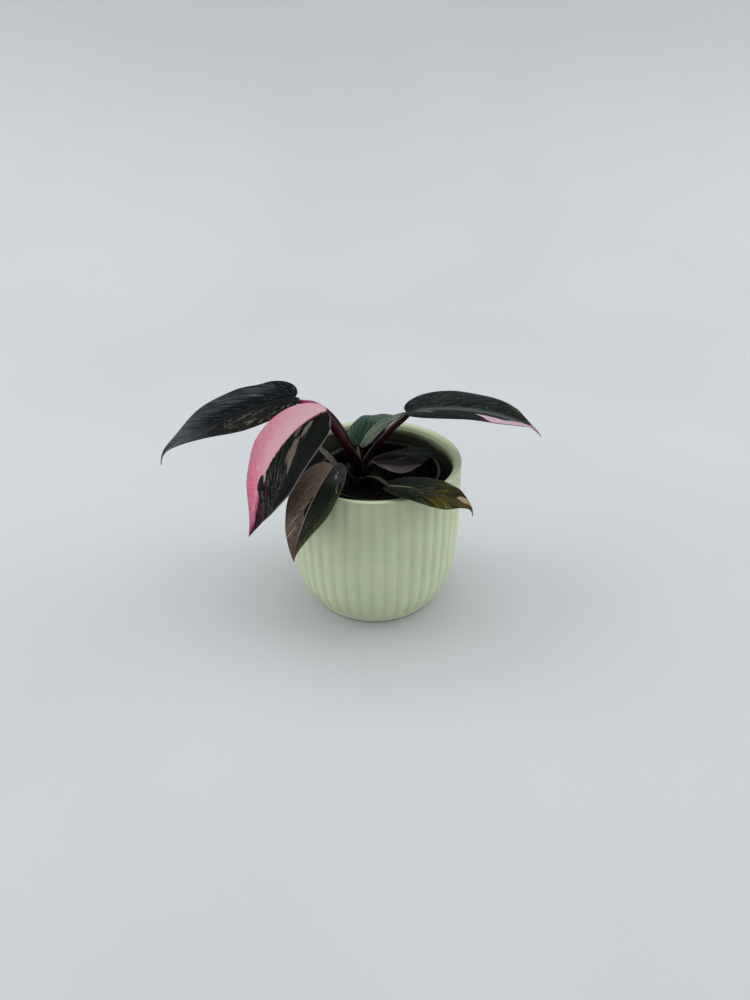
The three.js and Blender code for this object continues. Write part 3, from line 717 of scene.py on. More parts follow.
def look_front_left(s):
    """Olive brown on the outer half, dark green with pale chips on the inner one."""
    s.start(s.ragged(0.34, 0.6), "#4f443a", "#6b5e51")
    s.lay("#7b6e61", s.grain(0.52, 0.62, 0, 0.35))
    s.lay("#8c7f71", s.fibres(0.55, 0.63, 0, 0.55))
    s.lay("#2f271f", s.specks(0.5, 0.66, 0, 0.5))
    s.lay("#857868", s.along(0.5, 0.05, 0, 0.45))
    brown = s.lay("#261f18", s.along(0.35, 0.65, 0, 0.35))

    s.ground("#0b120b", "#151e15", "#1d241b")
    s.lay("#3d3e3e", 0.8, s.blotch((0.05, 0.6), (0.16, 0.7)), s.broad(0.3, 0.6, 0.5, 1))
    s.lay("#2b331c", s.far(0.75, 0.97), s.along(0.2, 0.4))
    s.lay("#8d8267", 0.8, s.flecks(0.75), s.along(0.4, 0.6), s.left)
    s.lay("#767466", 0.5, s.flecks(0.5), s.out(0.35, 0.6), s.left)
    spot = s.patch((0.12, 0.53), 5, 9, 0.4) * s.grain(0.46, 0.54)
    s.lay("#9a9a92", 0.9, spot, s.fibres(0.4, 0.5))
    green = s.lay("#6d765f", 0.7, s.patch((0.25, 0.82), 1.6, 8, 0.3), s.grain(0.4, 0.55))

    edge = s.out.sway(s.ragged, 0.14) + s.blotch((0.46, -0.04), (0.1, 0.12)) * 0.12
    s.start(edge(-0.01, 0.012), brown, green)
    for at in ((0.28, -0.3), (0.14, -0.55), (0.45, -0.15), (0.74, -0.3), (0.62, -0.35)):
        s.lay("#9b8d7c", 0.7, s.patch(at, 1.3, 11, 0.25), s.right)
    s.lay("#65482a", 0.7, s.along(0.72, 0.95), s.tongues(0.35, 0.6))
    s.veined("#75695a", "#a89d8e", "#5d5347", 0.3, 0.035)


def look_upper_right(s):
    """Near-black green with a painted sheen in a band along the midrib and a pink strip on the near
    margin.
    """
    s.ground("#080d0b", "#101917", "#202928")
    s.lay("#2c3837", s.left, s.fibres(0.5, 0.66, 0, 0.6))
    # painted sheen: a grey band beside the midrib on the right half
    band = s.out(-0.4, -0.24) * s.out(0.12, -0.02) * s.along(0.0, 0.12)
    s.lay("#555b5c", band, s.grain(0.35, 0.6, 0.45, 0.8))
    s.lay("#868a88", 0.8, s.patch((0.13, -0.42), 6, 14, 0.4), s.fibres(0.44, 0.54))
    # the strip's inner edge crosses to the midrib towards the tip, and its start follows the veins
    past = s.math("MAXIMUM", s.along - 0.67, 0.0)
    inside = (s.out - past * 2.6 + 0.5).sway(s.grain, 0.08)
    from_start = (s.along + s.out * 0.28).sway(s.ragged, 0.05)
    strip = inside(0.015, -0.015) * from_start(0.318, 0.328)
    off_strip = 1 - strip
    s.lay(s.mix(s.fibres(0.4, 0.65), "#bfa2ad", "#ad8b99"), strip)
    s.lay("#4f1c2e", 0.8, s.blotch((0.52, -0.9), (0.035, 0.14)), off_strip, s.right)
    s.lay("#4a1f30", 0.7, inside(0.07, 0.0), s.along(0.6, 0.75), off_strip)
    # the brownish end of the far half
    s.lay("#2c2124", 0.7, s.along(0.68, 0.88), s.left, s.tongues(0.35, 0.6))
    s.lay("#4a413b", s.blotch((0.82, 0.55), (0.1, 0.2)), s.grain(0.4, 0.6))
    # grey chips and hairs
    s.lay("#76807d", 0.6, s.flecks(0.75), s.left, s.blotch((0.33, 0.35), (0.3, 0.5)))
    s.lay("#4e5a5a", 0.4, s.left, s.fibres(0.58, 0.62), s.ragged(0.4, 0.52))
    s.lay("#7d8274", 0.6, s.flecks(0.6), s.right, s.far(0.6, 0.9), s.along(0.5, 0.45))
    s.veined("#323c3b", "#4b5250", "#1a1416", 0.3, 0.022)


def look_newest(s):
    """Fresh green on the left half with a painted sheen, grey-green and cream on the right."""
    s.start(s.broad(0.36, 0.64), "#0f2417", "#1d3626")
    # painted sheen along the fibres of the left half
    s.lay("#3f5547", s.fibres(0.48, 0.62, 0, 0.7))
    s.lay("#12281b", s.grain(0.56, 0.66, 0, 0.5))
    s.lay("#4c5f52", s.far(0.6, 0.95), s.tongues(0.4, 0.6))
    # a paler blotch of painted sheen
    green = s.lay("#3d5246", 0.7, s.blotch((0.6, 0.3), (0.22, 0.5)))
    s.start(s.fibres(0.42, 0.58), "#29332a", "#69745f")
    s.lay("#1c241c", s.tongues(0.46, 0.6), s.along(0.1, 0.3, 0, 0.8))
    pale = s.lay("#858c79", s.grain(0.52, 0.64, 0, 0.6))
    s.start(s.out.sway(s.ragged, 0.4)(0.03, -0.03), green, pale)
    s.veined("#5b6a5d", "#7a8672", "#171512", 0.35, 0.03)


def look_inner_front(s):
    """Small and cupped: dark, with a pinkish grey near margin."""
    s.ground("#080706", "#131110", "#2b2624")
    s.lay("#75646a", 0.8, s.right, s.far(0.45, 0.85), s.fibres(0.44, 0.56, 0.2, 1.0))
    s.lay("#77706a", 0.65, s.flecks(0.85), s.along(0.2, 0.4))
    s.lay("#0b0909", s.along(0.12, 0.02, 0, 0.8))
    # the pale margin is a painted highlight
    s.veined("#3b3431", "#4f4744", "#8b8280", 0.3, 0.03)


def look_inner_back(s):
    """Small and dark green with grey streaks."""
    s.ground("#080c08", "#101711", "#262e27")
    s.lay("#59625a", 0.6, s.flecks(0.8), s.along(0.1, 0.3))
    s.veined("#313b33", "#3c473e", "#4b554b", 0.3, 0.03)


def look_front_right(s):
    """Dark green turning olive yellow, with a dry beige patch before the tip."""
    green = s.ground("#080d09", "#131b16", "#2a342e")
    s.start(s.broad(0.36, 0.64), "#171705", "#2c2908")
    s.lay("#4b4210", s.tongues(0.47, 0.62, 0, 0.7))
    olive = s.lay("#686034", s.fibres(0.53, 0.62, 0, 0.7))
    s.start(s.along.sway(s.tongues, 0.9)(0.4, 0.6), green, olive)
    s.lay("#171a12", 0.7, s.left, s.along(0.25, 0.4), s.tongues(0.6, 0.45))
    s.lay("#8e9078", 0.6, s.flecks(0.75), s.along(0.15, 0.3))
    s.lay("#2a2110", 0.8, s.blotch((0.74, 0.5), (0.13, 0.45)))
    dry = s.blotch((0.815, 0.17), (0.085, 0.12)).sway(s.ragged, 2.6)
    s.lay(s.mix(s.fibres(0.42, 0.58), "#a08f74", "#847356"), dry(0.4, 0.6))
    s.lay("#5d4a40", s.along(0.9, 0.97))
    # painted shade over the base
    s.lay("#080a08", s.along(0.13, 0.03, 0, 0.8))
    s.lay("#7f8468", 0.8, s.off_midrib(0.07, 0.03), s.along(0.3, 0.16))
    s.veined("#454a30", "#4c4f38", "#4a4226", 0.35, 0.035)


def underside_material(name, dark, mid):
    """The paler, burgundy-flushed back of a blade, with raised side veins."""
    s = Shade(f"under_{name}", 0.5, 0.15)
    sweep, across, _ = s.split(s.uv("grain"))
    clouds = s.noise(s.uv("blade"), 24, 4, 0.6)
    grain = s.streaks(sweep, 60, across, 10)
    wave = s.vein_wave(sweep)
    s.start(clouds(0.25, 0.75), dark, mid)
    s.lay(mid, grain(0.52, 0.72, 0, 0.4))
    s.lay("#7a4c50", wave(0.09, 0.0, 0, 0.4))
    s.bump(wave(0.12, 0.0, 0, 0.8) + grain, 0.4, 0.0006)
    return s.finish(clouds(0.3, 0.7, 0.42, 0.58))


# Each leaf's upper face, and its underside's dark and middle tones.
LOOKS = {
    "upper_left": (look_upper_left, ("#2c1a20", "#4a2a33")),
    "pink_half": (look_pink_half, ("#5d2c3c", "#8e5163")),
    "front_left": (look_front_left, ("#3c2b26", "#5e4740")),
    "upper_right": (look_upper_right, ("#321a22", "#5b2c3b")),
    "newest": (look_newest, ("#3b2c2b", "#59544a")),
    "inner_front": (look_inner_front, ("#33211f", "#54413d")),
    "inner_back": (look_inner_back, ("#2a1e1f", "#453a35")),
    "front_right": (look_front_right, ("#36281c", "#5a4c30")),
}

# Dark, middle, ridge and flush tones, and where the flush begins. The ridge tone is a painted highlight.
PETIOLE_TONES = {
    "upper_left": ("#10060a", "#240a13", "#6d4149", "#8c2450", 0),
    "pink_half": ("#0a0304", "#160409", "#52373a", "#3e0b1a", 0.2),
    "front_left": ("#130b0b", "#261918", "#63554f", "#4b3a36", 0),
    "upper_right": ("#0c0405", "#1b080e", "#7d666c", "#330b17", 0.2),
    "newest": ("#0e0607", "#1d0c11", "#4c3737", "#2c1c1e", 0),
    "inner_front": ("#0e0707", "#1d1111", "#655751", "#4a3836", 0),
    "inner_back": ("#0a0706", "#16100e", "#38302b", "#292623", 0),
    "front_right": ("#080805", "#12120a", "#74755a", "#23241a", 0),
}

# ---------------------------------------------------------------- pots and soil


def planter_radius(z):
    line = catmull_rom(PLANTER.profile, 400)
    return float(np.interp(z, line[:, 1], line[:, 0]))


def rib_relief(z, phase):
    """Height of a rib above its valley, 0 to 1: a rounded flute with rounded ends. The second value
    is 0 along the rib and reaches 1 at its ends."""
    low, high, cap = PLANTER.rib_bottom, PLANTER.rib_top, PLANTER.rib_cap
    beyond = np.maximum(0, np.maximum(low + cap - z, z - high + cap)) / cap
    off_crown = np.abs(2 * phase - 1)
    flute = 1 - 1.25 * off_crown**2 + 0.25 * off_crown**6
    return flute * np.sqrt(np.maximum(0, 1 - beyond**2)), beyond


def planter_stations():
    """Radius and height from the foot's middle up the outside, and from the lip down the hollow."""
    rim, height, floor = PLANTER.rim_radius, PLANTER.height, PLANTER.floor
    lip, soft, inside = PLANTER.lip, PLANTER.inner_lip, rim - PLANTER.wall
    foot = planter_radius(0)
    outer = [(foot * share, 0.0) for share in PLANTER.foot_rings]
    outer += [(foot + beyond, z) for beyond, z in PLANTER.foot_edge]
    outer += [(planter_radius(z), z) for span in PLANTER.levels for z in np.arange(*span)]
    turns = np.linspace(0, math.pi / 2, 7)
    inner = [(rim - lip + lip * math.cos(a), height - lip + lip * math.sin(a)) for a in turns]
    inner += [(inside + soft - soft * math.sin(a), height - soft + soft * math.cos(a)) for a in turns]
    hollow = [(inside, height - soft), (inside, height - soft - PLANTER.throat)]
    hollow += [(inside - inset, floor + rise) for inset, rise in PLANTER.hollow]
    return outer, inner + [tuple(point) for point in catmull_rom(hollow, 61)]


def build_planter():
    """Foot, ribbed wall, smooth rim band, rounded lip and the smooth hollow inside. The layer relief
    holds the place on a rib, 1 on its crown, and how far down the hollow a point lies."""
    steps, height = PLANTER.steps_per_rib, PLANTER.height
    count = PLANTER.ribs * steps
    angles = np.arange(count) * 2 * math.pi / count + math.radians(PLANTER.rib_turn - 90)
    phase = (np.arange(count) % steps) / steps
    flat = np.ones(count)
    outer, inner = planter_stations()

    rings = []
    for radius, z in outer:
        flute, beyond = rib_relief(z * flat, phase)
        dip = PLANTER.rib_depth * (1 - flute) * (1 - smooth(beyond, 0.85, 1.0)) * (beyond < 1)
        band = PLANTER.band_depth * smooth(beyond, 0.4, 1.0) * smooth(z, 0.0, 2.0)
        if z > height / 2:
            band = band * (1 - smooth(z, PLANTER.rib_top, height - PLANTER.lip))
        rings.append((radius - np.maximum(dip, band), z, np.where(beyond < 1, flute, 0.75), 0))
    rings += [(radius, z, 0.8, max(0.0, (height - z) / height)) for radius, z in inner]
    vertices, layer = [], []
    for radius, z, on_rib, depth in rings:
        vertices.append(np.stack([radius * np.cos(angles), radius * np.sin(angles), z * flat], -1))
        layer.append(np.stack([on_rib * flat, depth * flat], -1))
    vertices.append([[0, 0, 0], [0, 0, PLANTER.floor]])
    layer.append([[0.8, 0], [0.8, 1]])
    middle = len(rings) * count
    faces = ring_faces(len(rings), count) + fan_faces(middle, 0, count, turned=True)
    faces += fan_faces(middle + 1, middle - count, count)
    material, layers = planter_material(), {"relief": np.vstack(layer)}
    made = make_mesh("planter_visual", np.vstack(vertices), faces, [material], layers=layers)
    settle(made, "planter", "planter")


def soil_height(x, y):
    broad = math.sin(0.21 * x + 1) * math.cos(0.17 * y)
    fine = math.sin(0.53 * x - 0.31 * y + 2) * math.cos(0.47 * y + 0.2 * x)
    return SOIL.level + SOIL.lumps * (0.55 * broad + 0.45 * fine)


def pot_inner_radius(z):
    share = (z - PLANTER.floor - NURSERY.stands) / (NURSERY.height - NURSERY.band)
    wide = NURSERY.rim_radius - NURSERY.band_proud - NURSERY.band_step
    return mix(NURSERY.base_radius, wide, share) - NURSERY.wall - SOIL.clearance


def pot_place(radius, angle):
    """A place on the soil, in polar coordinates from the nursery pot's axis."""
    x, y = NURSERY.centre
    return x + radius * math.cos(angle), y + radius * math.sin(angle)


def crumbly(x, y):
    """The soil's height with its grit."""
    spot = Vector((x, y, 0))
    grit = SOIL.grit * noise.fractal(spot * 0.35, 0.9, 2.2, 4)
    return soil_height(x, y) + grit + SOIL.crumbs * noise.cell(spot * 0.5) - SOIL.settled


def build_soil():
    """The potting mix as one body with a crumbly top."""
    steps, rings, bottom = SOIL.steps, SOIL.rings, SOIL.bottom
    edge_height = SOIL.level - 2 * SOIL.lumps
    edge = pot_inner_radius(edge_height)
    turns = [2 * math.pi * i / steps for i in range(steps)]
    vertices = [(*pot_place(pot_inner_radius(bottom), a), bottom) for a in turns]
    vertices += [(*pot_place(edge, a), edge_height) for a in turns]
    # the top's rings close in on the middle, from just inside the edge
    for k in range(rings):
        places = [pot_place(edge * (1 - k / rings) * 0.985 + 0.3, a) for a in turns]
        vertices += [(x, y, crumbly(x, y)) for x, y in places]
    middle, centre = len(vertices), NURSERY.centre
    vertices += [(*centre, crumbly(*centre)), (*centre, bottom)]
    faces = ring_faces(rings + 2, steps) + fan_faces(middle, middle - steps, steps)
    faces += fan_faces(middle + 1, 0, steps, turned=True)
    settle(make_mesh("soil_visual", vertices, faces, [soil_material()]), "soil", "soil")


def build_soil_bits():
    """Loose bits of bark and coir that lie on the soil, clear of the stem."""
    draw = random.Random(7)
    reach = pot_inner_radius(SOIL.level - 2 * SOIL.lumps) - BITS.off_wall
    around, stem = BITS.around, STEM.soil_line
    vertices, faces = [], []
    for _ in range(BITS.tries):
        radius = reach * math.sqrt(draw.random())
        x, y = pot_place(radius, draw.uniform(0, 2 * math.pi))
        if math.hypot(x - stem[0], y - stem[1]) < BITS.off_stem:
            continue
        long, wide, thick = (draw.uniform(*span) for span in (BITS.long, BITS.wide, BITS.thick))
        turn, lean = draw.uniform(0, math.pi), draw.uniform(-BITS.lean, BITS.lean)
        ground, first = soil_height(x, y) + BITS.lift, len(vertices)
        for u in np.linspace(-1, 1, BITS.sections).tolist():
            swell = math.sqrt(max(0.06, 1 - u * u))
            for i in range(around):
                a = 2 * math.pi * i / around
                rough = draw.uniform(*BITS.rough) * swell
                px, py = u * long, wide * rough * math.cos(a)
                dx = px * math.cos(turn) - py * math.sin(turn)
                dy = px * math.sin(turn) + py * math.cos(turn)
                vertices.append((x + dx, y + dy, ground + thick * rough * math.sin(a) + lean * px))
        faces += ring_faces(BITS.sections, around, first)
        faces.append(range(first + around - 1, first - 1, -1))
        faces.append(range(len(vertices) - around, len(vertices)))
    settle(make_mesh("soil_bits", vertices, faces, [crumb_material()]), "soil")


def dress_nursery_pot():
    """The part's own pot is kept: a modifier smooths it but keeps its rim and foot crisp."""
    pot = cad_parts["nursery_pot"]
    pot.data.materials.clear()
    pot.data.materials.append(nursery_material())
    pot.data.polygons.foreach_set("use_smooth", [True] * len(pot.data.polygons))
    crisp = pot.modifiers.new("crisp_edges", "EDGE_SPLIT")
    crisp.split_angle = math.radians(NURSERY.crisp_angle)


# ---------------------------------------------------------------- stem, petioles, sheaths


def rod_mesh(name, line, radii, around, material, top_at=(1.0, 0, 0), groove=0.0):
    """A closed tube along a line. Its angle is measured from a direction carried back from the far
    end, where it is `top_at`, and a groove with two ridges may run along that side."""
    line = np.asarray(line, float)
    along = unit(np.gradient(line, axis=0))
    sides = np.zeros_like(line)
    up = np.array(top_at, float)
    for k in range(len(line) - 1, -1, -1):
        up = up - along[k] * (up @ along[k])
        up /= np.linalg.norm(up)
        sides[k] = up
    across = np.cross(along, sides)
    angles = np.arange(around + 1) * 2 * math.pi / around - math.pi
    ridges = sum(bell(angles, at, GROOVE.ridge_spread) for at in (GROOVE.ridge_at, -GROOVE.ridge_at))
    relief = 1 + groove * (GROOVE.ridge_share * ridges - bell(angles, 0, GROOVE.spread))
    width = around + 1
    ring = np.cos(angles)[:, None] * sides[:, None] + np.sin(angles)[:, None] * across[:, None]
    vertices = line[:, None] + np.asarray(radii)[:, None, None] * relief[:, None] * ring
    vertices = np.vstack([vertices.reshape(-1, 3), [line[0], line[-1]]])
    shares = np.linspace(0, 1, len(line))
    layer = [(share, i / around) for share in shares for i in range(width)] + [(0, 0.5), (1, 0.5)]
    faces = grid_faces(len(line), width)
    last, start = (len(line) - 1) * width, len(line) * width
    for i in range(around):
        faces += [(start, i + 1, i), (start + 1, last + i, last + i + 1)]
    made = make_mesh(name, vertices, faces, [material], layers={"rod": layer})
    weld(made)
    return made


def weld(made):
    """Joins vertices that lie on each other, as along a tube's seam."""
    work = bmesh.new()
    work.from_mesh(made.data)
    bmesh.ops.remove_doubles(work, verts=work.verts, dist=1e-7)
    bmesh.ops.recalc_face_normals(work, faces=work.faces)
    work.to_mesh(made.data)
    work.free()


def build_stem():
    """A short rod, thicker at its leaf scars and rounded off at the top."""
    line = catmull_rom([STEM.root, STEM.soil_line, STEM.tip], 90)
    u = np.linspace(0, 1, len(line))
    scars = STEM.scar_rise * np.maximum(0, np.cos(2 * math.pi * STEM.scars * u)) ** 2 * (u < 0.9)
    rough = np.array([noise.noise(Vector((0, 0, 30 * share))) for share in u]) * STEM.rough
    radii = STEM.radius * (1 - STEM.taper * u) + scars + rough - STEM.rounding * smooth(u, 0.93, 1.0)
    settle(rod_mesh("stem_visual", line, radii, 40, stem_material()), "stem", "stem")


def build_petiole(name, leaf):
    """A stalk from the stem to the underside of its blade, where it runs out along the midrib."""
    root, near, far, base = (np.array(p, float) for p in (*leaf.petiole, leaf.base))
    point, _, normal = midrib(leaf, np.array([0.0, 0.03, 0.08]) * leaf.length)
    thick, thin = leaf.radii
    u = np.linspace(0, 1, PETIOLE.stations)[:, None]
    line = bezier(root, near, far, base, u)
    line[:, 2:] += leaf.arch * smooth(u, 0.1, 0.55) * smooth(1 - u, 0.0, 0.34)
    # it sinks below the blade before it reaches it, and runs out in two points under the midrib
    line -= normal[0] * (BLADE.half + PETIOLE.sink * thin) * smooth(u, 0.72, 1.0)
    under = point[1:] - normal[1:] * (BLADE.half + np.array([[0.4 * thin], [0.2 * thin]]))
    line = np.vstack([line, under])
    share = np.linspace(0, 1, len(line))
    clasp = 1 + PETIOLE.clasp * (1 - smooth(share, 0, 0.22))
    wing = leaf.wing * (1 - smooth(share, 0.45, 0.95))
    neck = 1 - PETIOLE.neck * smooth(share, 0.8, 0.95)
    radii = mix(thick, thin, smooth(share, 0, 0.6)) * (clasp + wing) * neck
    radii[-2:] = (0.75 * thin, 0.35 * thin)
    material, around = petiole_material(name, *PETIOLE_TONES[name]), PETIOLE.around
    made = rod_mesh(f"petiole_{name}_visual", line, radii, around, material, normal[0], GROOVE.depth)
    settle(made, "petiole", f"petiole_{name}")


def build_sheath(name, sheath):
    """A hollowed strap with curled, slightly torn edges."""
    line = catmull_rom(sheath.path, 60)
    along = unit(np.gradient(line, axis=0))
    across = unit(np.cross(along, (0, 0, 1.0)))
    out = np.cross(across, along)
    rows, columns = len(line), 11
    vertices, layer = [], []
    for face in (1, -1):
        for k, u in enumerate(np.linspace(0, 1, rows)):
            half = sheath.width / 2 * (1 - sheath.taper * u**3)
            for s in np.linspace(-1, 1, columns):
                edge = abs(s)
                torn = 1 + SHEATH_EDGE.torn * noise.noise(Vector((9 * u, 3 * s, 2.0))) * edge
                rise = SHEATH_EDGE.uneven * noise.noise(Vector((7 * u, 2.5 * s, 5.0)))
                rise += SHEATH_EDGE.curl * half * edge**1.6
                thick = face * 0.35 * sheath.thickness * (1 - 0.75 * edge**4)
                lift = rise + thick - sheath.thickness / 2
                vertices.append(line[k] + across[k] * s * half * torn + out[k] * lift)
                layer.append((u * 4, s * 0.5 + 0.5))
    under, end = rows * columns, (rows - 1) * columns
    top = grid_faces(rows, columns)
    rim = [*range(columns - 1), *range(columns - 1, under - 1, columns)]
    rim += [*range(under - 1, end, -1), *range(end, 0, -columns)]
    faces = top + [tuple(v + under for v in reversed(quad)) for quad in top]
    faces += [(p, q, q + under, p + under) for p, q in zip(rim, rim[1:] + rim[:1])]
    material = sheath_material(*sheath.look)
    made = make_mesh(f"{name}_visual", vertices, faces, [material], layers={"strap": layer})
    weld(made)
    settle(made, sheath.slot, name)


# ---------------------------------------------------------------- leaf blades


def directions(leaf, share):
    """Along, side and normal directions at shares of the midrib's length. The hook is the extra pitch
    of its last part."""
    droop = leaf.hook * np.clip((share - BLADE.hook_from) / (1 - BLADE.hook_from), 0, 1)
    pitch = np.radians(mix(leaf.pitch, leaf.tip_pitch, share ** leaf.ease) + droop)
    heading = np.radians(leaf.heading + leaf.turn * share)
    along = np.stack([np.cos(pitch) * np.cos(heading), np.cos(pitch) * np.sin(heading), np.sin(pitch)], -1)
    level = np.stack([-np.sin(heading), np.cos(heading), 0 * heading], -1)
    upright = np.cross(along, level)
    roll = np.radians(mix(leaf.roll, leaf.tip_roll, share))[..., None]
    side = np.cos(roll) * level + np.sin(roll) * upright
    normal = np.cos(roll) * upright - np.sin(roll) * level
    return along, side, normal


def midrib(leaf, x):
    """Points on the midrib x mm from the base, with their side and normal directions."""
    stations = 60
    step = leaf.length / stations
    steps, _, _ = directions(leaf, (np.arange(stations) + 0.5) / stations)
    points = np.vstack([np.zeros(3), np.cumsum(steps * step, 0)]) + np.array(leaf.base, float)
    share = np.clip(x / leaf.length, 1e-9, 1)
    along, side, normal = directions(leaf, share)
    marks = np.arange(stations + 1) * step
    inside = np.clip(x, 0, leaf.length)
    point = np.stack([np.interp(inside, marks, points[:, i]) for i in range(3)], -1)
    return point + along * np.minimum(x, 0)[..., None], side, normal


def margin(leaf, sign, t):
    """The flat margin of a half: x along the midrib and y across it, from the notch to the tip."""
    length, widest = leaf.length, leaf.widest * leaf.length
    half_width = leaf.left if sign > 0 else leaf.right
    split = BLADE.lobe_share
    u = np.clip(t / split, 0, 1)
    w = np.clip((t - split) / (1 - split), 0, 1)
    shoulder = widest + BLADE.shoulder * (length - widest)
    near, far = (reach * leaf.lobe for reach in BLADE.lobe_reach)
    x = np.where(
        t < split,
        bezier(0, near, far, widest, u),
        bezier(widest, shoulder, length * (1 - leaf.tail), length, w),
    )
    y = half_width * np.where(t < split, bezier(0, 0.1, 1, 1, u), bezier(1, 1, leaf.fullness, 0, w))
    dent_sign, dent_at, dent_spread, dent_depth = leaf.dent
    if sign == dent_sign:
        y = y * (1 - dent_depth * bell(t, dent_at, dent_spread))
    tail_start, tail_width = leaf.drawn_tip
    return x, y * mix(1, tail_width, smooth(x / length, tail_start - 0.1, tail_start + 0.05))


def blade_half(leaf, sign):
    """One half as rows of point, flat place x and y, the vein's foot and reach, and its sweep."""
    half_width, fold = (leaf.left, leaf.fold_left) if sign > 0 else (leaf.right, leaf.fold_right)
    rows, columns = BLADE.rows, BLADE.columns
    t, column = np.meshgrid(np.linspace(0, 1, rows + 1), np.linspace(0, 1, columns + 1), indexing="ij")
    v = column ** BLADE.column_spread
    v[[0, -1]] = 0
    past_fan = np.maximum(0, (t - BLADE.fan_share) / (1 - BLADE.fan_share))
    foot = leaf.length * past_fan ** BLADE.foot_spread
    edge_x, edge_y = margin(leaf, sign, t)
    x = foot + (edge_x - foot) * v - BLADE.vein_bow * 2 * v * (1 - v) * edge_y
    y = edge_y * v
    lift = np.radians(fold + leaf.curl * y / half_width / 2)
    height, waves, phase = leaf.ripple
    sway = height * np.sin(2 * math.pi * (waves * t + phase) + sign) * v**3 * (edge_y / half_width)
    rise = y * np.sin(lift) + sway
    point, across, normal = midrib(leaf, x)
    point = point + across * (sign * y * np.cos(lift))[..., None] + normal * rise[..., None]
    fields = (x, sign * y, foot / leaf.length, sign * v, vein_sweep(x, y, half_width))
    return np.concatenate([point, np.stack(fields, -1)], -1).reshape(-1, 8)


def blade_faces():
    """Triangles of both halves, and the margin's edges, with both in the same turning sense."""
    width = BLADE.columns + 1
    half = (BLADE.rows + 1) * width
    cell = (np.arange(BLADE.rows)[:, None] * width + np.arange(width - 1)).ravel()
    corners = (cell, cell + width, cell + width + 1, cell, cell + width + 1, cell + 1)
    left = np.stack(corners, -1).reshape(-1, 3)
    rim = np.arange(BLADE.rows) * width + width - 1
    edges = np.stack([rim, rim + width], -1)
    return np.vstack([left, left[:, ::-1] + half]), np.vstack([edges, edges[:, ::-1] + half])


def blade_relief(y, foot, v, sweep):
    """How far the upper and the lower face lie from the sheet between them. The blade swells between
    its side veins and thins to its margin. The midrib's groove and ridge fade towards the tip."""
    waves = 0.5 - 0.5 * np.cos(2 * math.pi * sweep / BLADE.vein_spacing)
    fade = np.sin(math.pi * np.clip(v, 0, 1)) * (foot > 0) * smooth(1 - foot, 0, 0.25)
    quilting = BLADE.quilting * (waves - 0.5) * fade
    half = BLADE.half * (1 - BLADE.thinning * v**6)
    groove = BLADE.groove * bell(y, 0, BLADE.groove_spread) * (1 - 0.75 * foot)
    ridge = BLADE.ridge * bell(y, 0, BLADE.ridge_spread) * (1 - foot) ** 0.8
    return half + quilting - groove, quilting - half - ridge


def build_leaf(number, name, leaf):
    """A blade: one sheet of points, set apart into two faces with veins, groove and ridge."""
    sheet = np.vstack([blade_half(leaf, sign) for sign in (1, -1)])
    triangles, walls = blade_faces()
    _, keep, index = np.unique(np.round(sheet[:, :3], 4), axis=0, return_index=True, return_inverse=True)
    sheet, index = sheet[keep], index.ravel()
    a, b, c = index[triangles].T
    triangles = index[triangles][(a != b) & (b != c) & (a != c)]
    walls = index[walls][index[walls[:, 0]] != index[walls[:, 1]]]

    points = sheet[:, :3]
    a, b, c = (points[triangles[:, i]] for i in range(3))
    normals = np.zeros_like(points)
    for i in range(3):
        np.add.at(normals, triangles[:, i], np.cross(b - a, c - a))
    x, y, foot, v, sweep = sheet[:, 3:].T
    up, down = blade_relief(np.abs(y), foot, np.abs(v), sweep)
    vertices = np.vstack([points + unit(normals) * offset[:, None] for offset in (up, down)])

    count = len(points)
    faces = [tuple(face) for face in triangles] + [tuple(face[::-1] + count) for face in triangles]
    faces += [(p, q, q + count, p + count) for p, q in walls]
    slots = [0] * len(triangles) + [1] * len(triangles) + [0] * len(walls)
    x, y, sweep = x / UV_SCALE, y / UV_SCALE, sweep / UV_SCALE
    pairs = {"blade": (x, y), "vein": (foot, v), "grain": (sweep, y)}
    layers = {layer: np.tile(np.stack(pair, -1), (2, 1)) for layer, pair in pairs.items()}
    look, under = LOOKS[name]
    shade = LeafShade(name, leaf, float(3 * number + 1))
    look(shade)
    materials = [shade.close(), underside_material(name, *under)]
    made = make_mesh(f"leaf_{name}_visual", vertices, faces, materials, slots, layers)
    settle(made, f"leaf_{name}", f"leaf_{name}")


# ---------------------------------------------------------------- studio


def stage_material():
    """Pale painted board with the faintest unevenness."""
    s = Shade("studio_board", 0.65, specular=0.2)
    place = s.place()
    s.start(s.noise(place, 3, 2)(0.35, 0.65), "#bdc1c4", "#c1c4c7")
    s.bump(s.noise(place, 300, 2), 0.05, 0.0005)
    return s.finish()


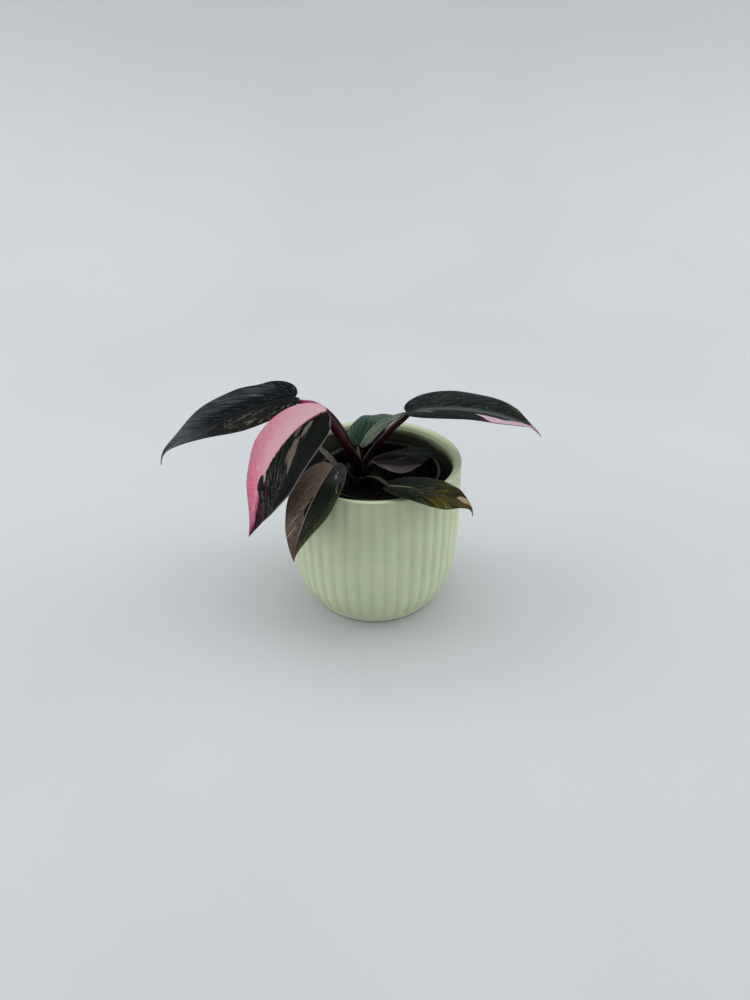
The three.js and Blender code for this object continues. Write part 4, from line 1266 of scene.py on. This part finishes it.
def build_stage():
    """A board that sweeps up behind the plant."""
    depth, width, bend = STUDIO.depth, STUDIO.width, STUDIO.bend
    turns = np.linspace(0, math.pi / 2, 20)
    line = [(STUDIO.front, 0.0), (0.0, 0.0)]
    line += [(depth - bend + bend * math.sin(a), bend - bend * math.cos(a)) for a in turns]
    line.append((depth, STUDIO.height))
    vertices = [(x / MM, y / MM, z / MM) for y, z in line for x in (-width, width)]
    faces = [(2 * k, 2 * k + 1, 2 * k + 3, 2 * k + 2) for k in range(len(line) - 1)]
    make_mesh("studio_sweep", vertices, faces, [stage_material()])


def build_lights():
    """Broad lamps that face the plant, in a room that is darker in front of it."""
    for name, (place, size, power, colour) in LAMPS.items():
        light = bpy.data.lights.new(name, "AREA")
        light.shape = "RECTANGLE"
        light.size, light.size_y = size
        light.energy = power
        light.color = colour
        lamp = bpy.data.objects.new(name, light)
        lamp.location = place
        lamp.rotation_mode = "QUATERNION"
        lamp.rotation_quaternion = (Vector(LIT_POINT) - Vector(place)).to_track_quat("-Z", "Y")
        bpy.context.scene.collection.objects.link(lamp)
    world = bpy.data.worlds.new("studio")
    world.use_nodes = True
    background = world.node_tree.nodes["Background"]
    background.inputs["Color"].default_value = ROOM.colour
    background.inputs["Strength"].default_value = ROOM.strength
    bpy.context.scene.world = world
    bpy.context.scene.view_settings.view_transform = "Standard"


def build_camera():
    """A pinhole camera in front of the pot and above it, at the photograph's angle."""
    pitch, roll = math.radians(CAMERA.pitch), math.radians(CAMERA.roll)
    camera = bpy.data.cameras.new("camera")
    camera.sensor_width = 36
    camera.lens = camera.sensor_width * CAMERA.focal_px / CAMERA.frame_px
    camera.clip_start, camera.clip_end = 0.01, 20
    viewer = bpy.data.objects.new("camera", camera)
    viewer.location = Vector(CAMERA.place) * MM
    forward = Vector((0, math.cos(pitch), -math.sin(pitch)))
    level, upright = Vector((1, 0, 0)), Vector((0, math.sin(pitch), math.cos(pitch)))
    right = math.cos(roll) * level + math.sin(roll) * upright
    up = math.cos(roll) * upright - math.sin(roll) * level
    viewer.rotation_mode = "QUATERNION"
    viewer.rotation_quaternion = Matrix((right, up, -forward)).transposed().to_quaternion()
    bpy.context.scene.collection.objects.link(viewer)
    bpy.context.scene.camera = viewer


# ---------------------------------------------------------------- assembly

build_camera()
build_stage()
build_lights()
build_planter()
dress_nursery_pot()
build_soil()
build_soil_bits()
build_stem()
for number, (name, leaf) in enumerate(LEAVES.items()):
    build_leaf(number, name, leaf)
    build_petiole(name, leaf)
for name, sheath in SHEATHS.items():
    build_sheath(name, sheath)
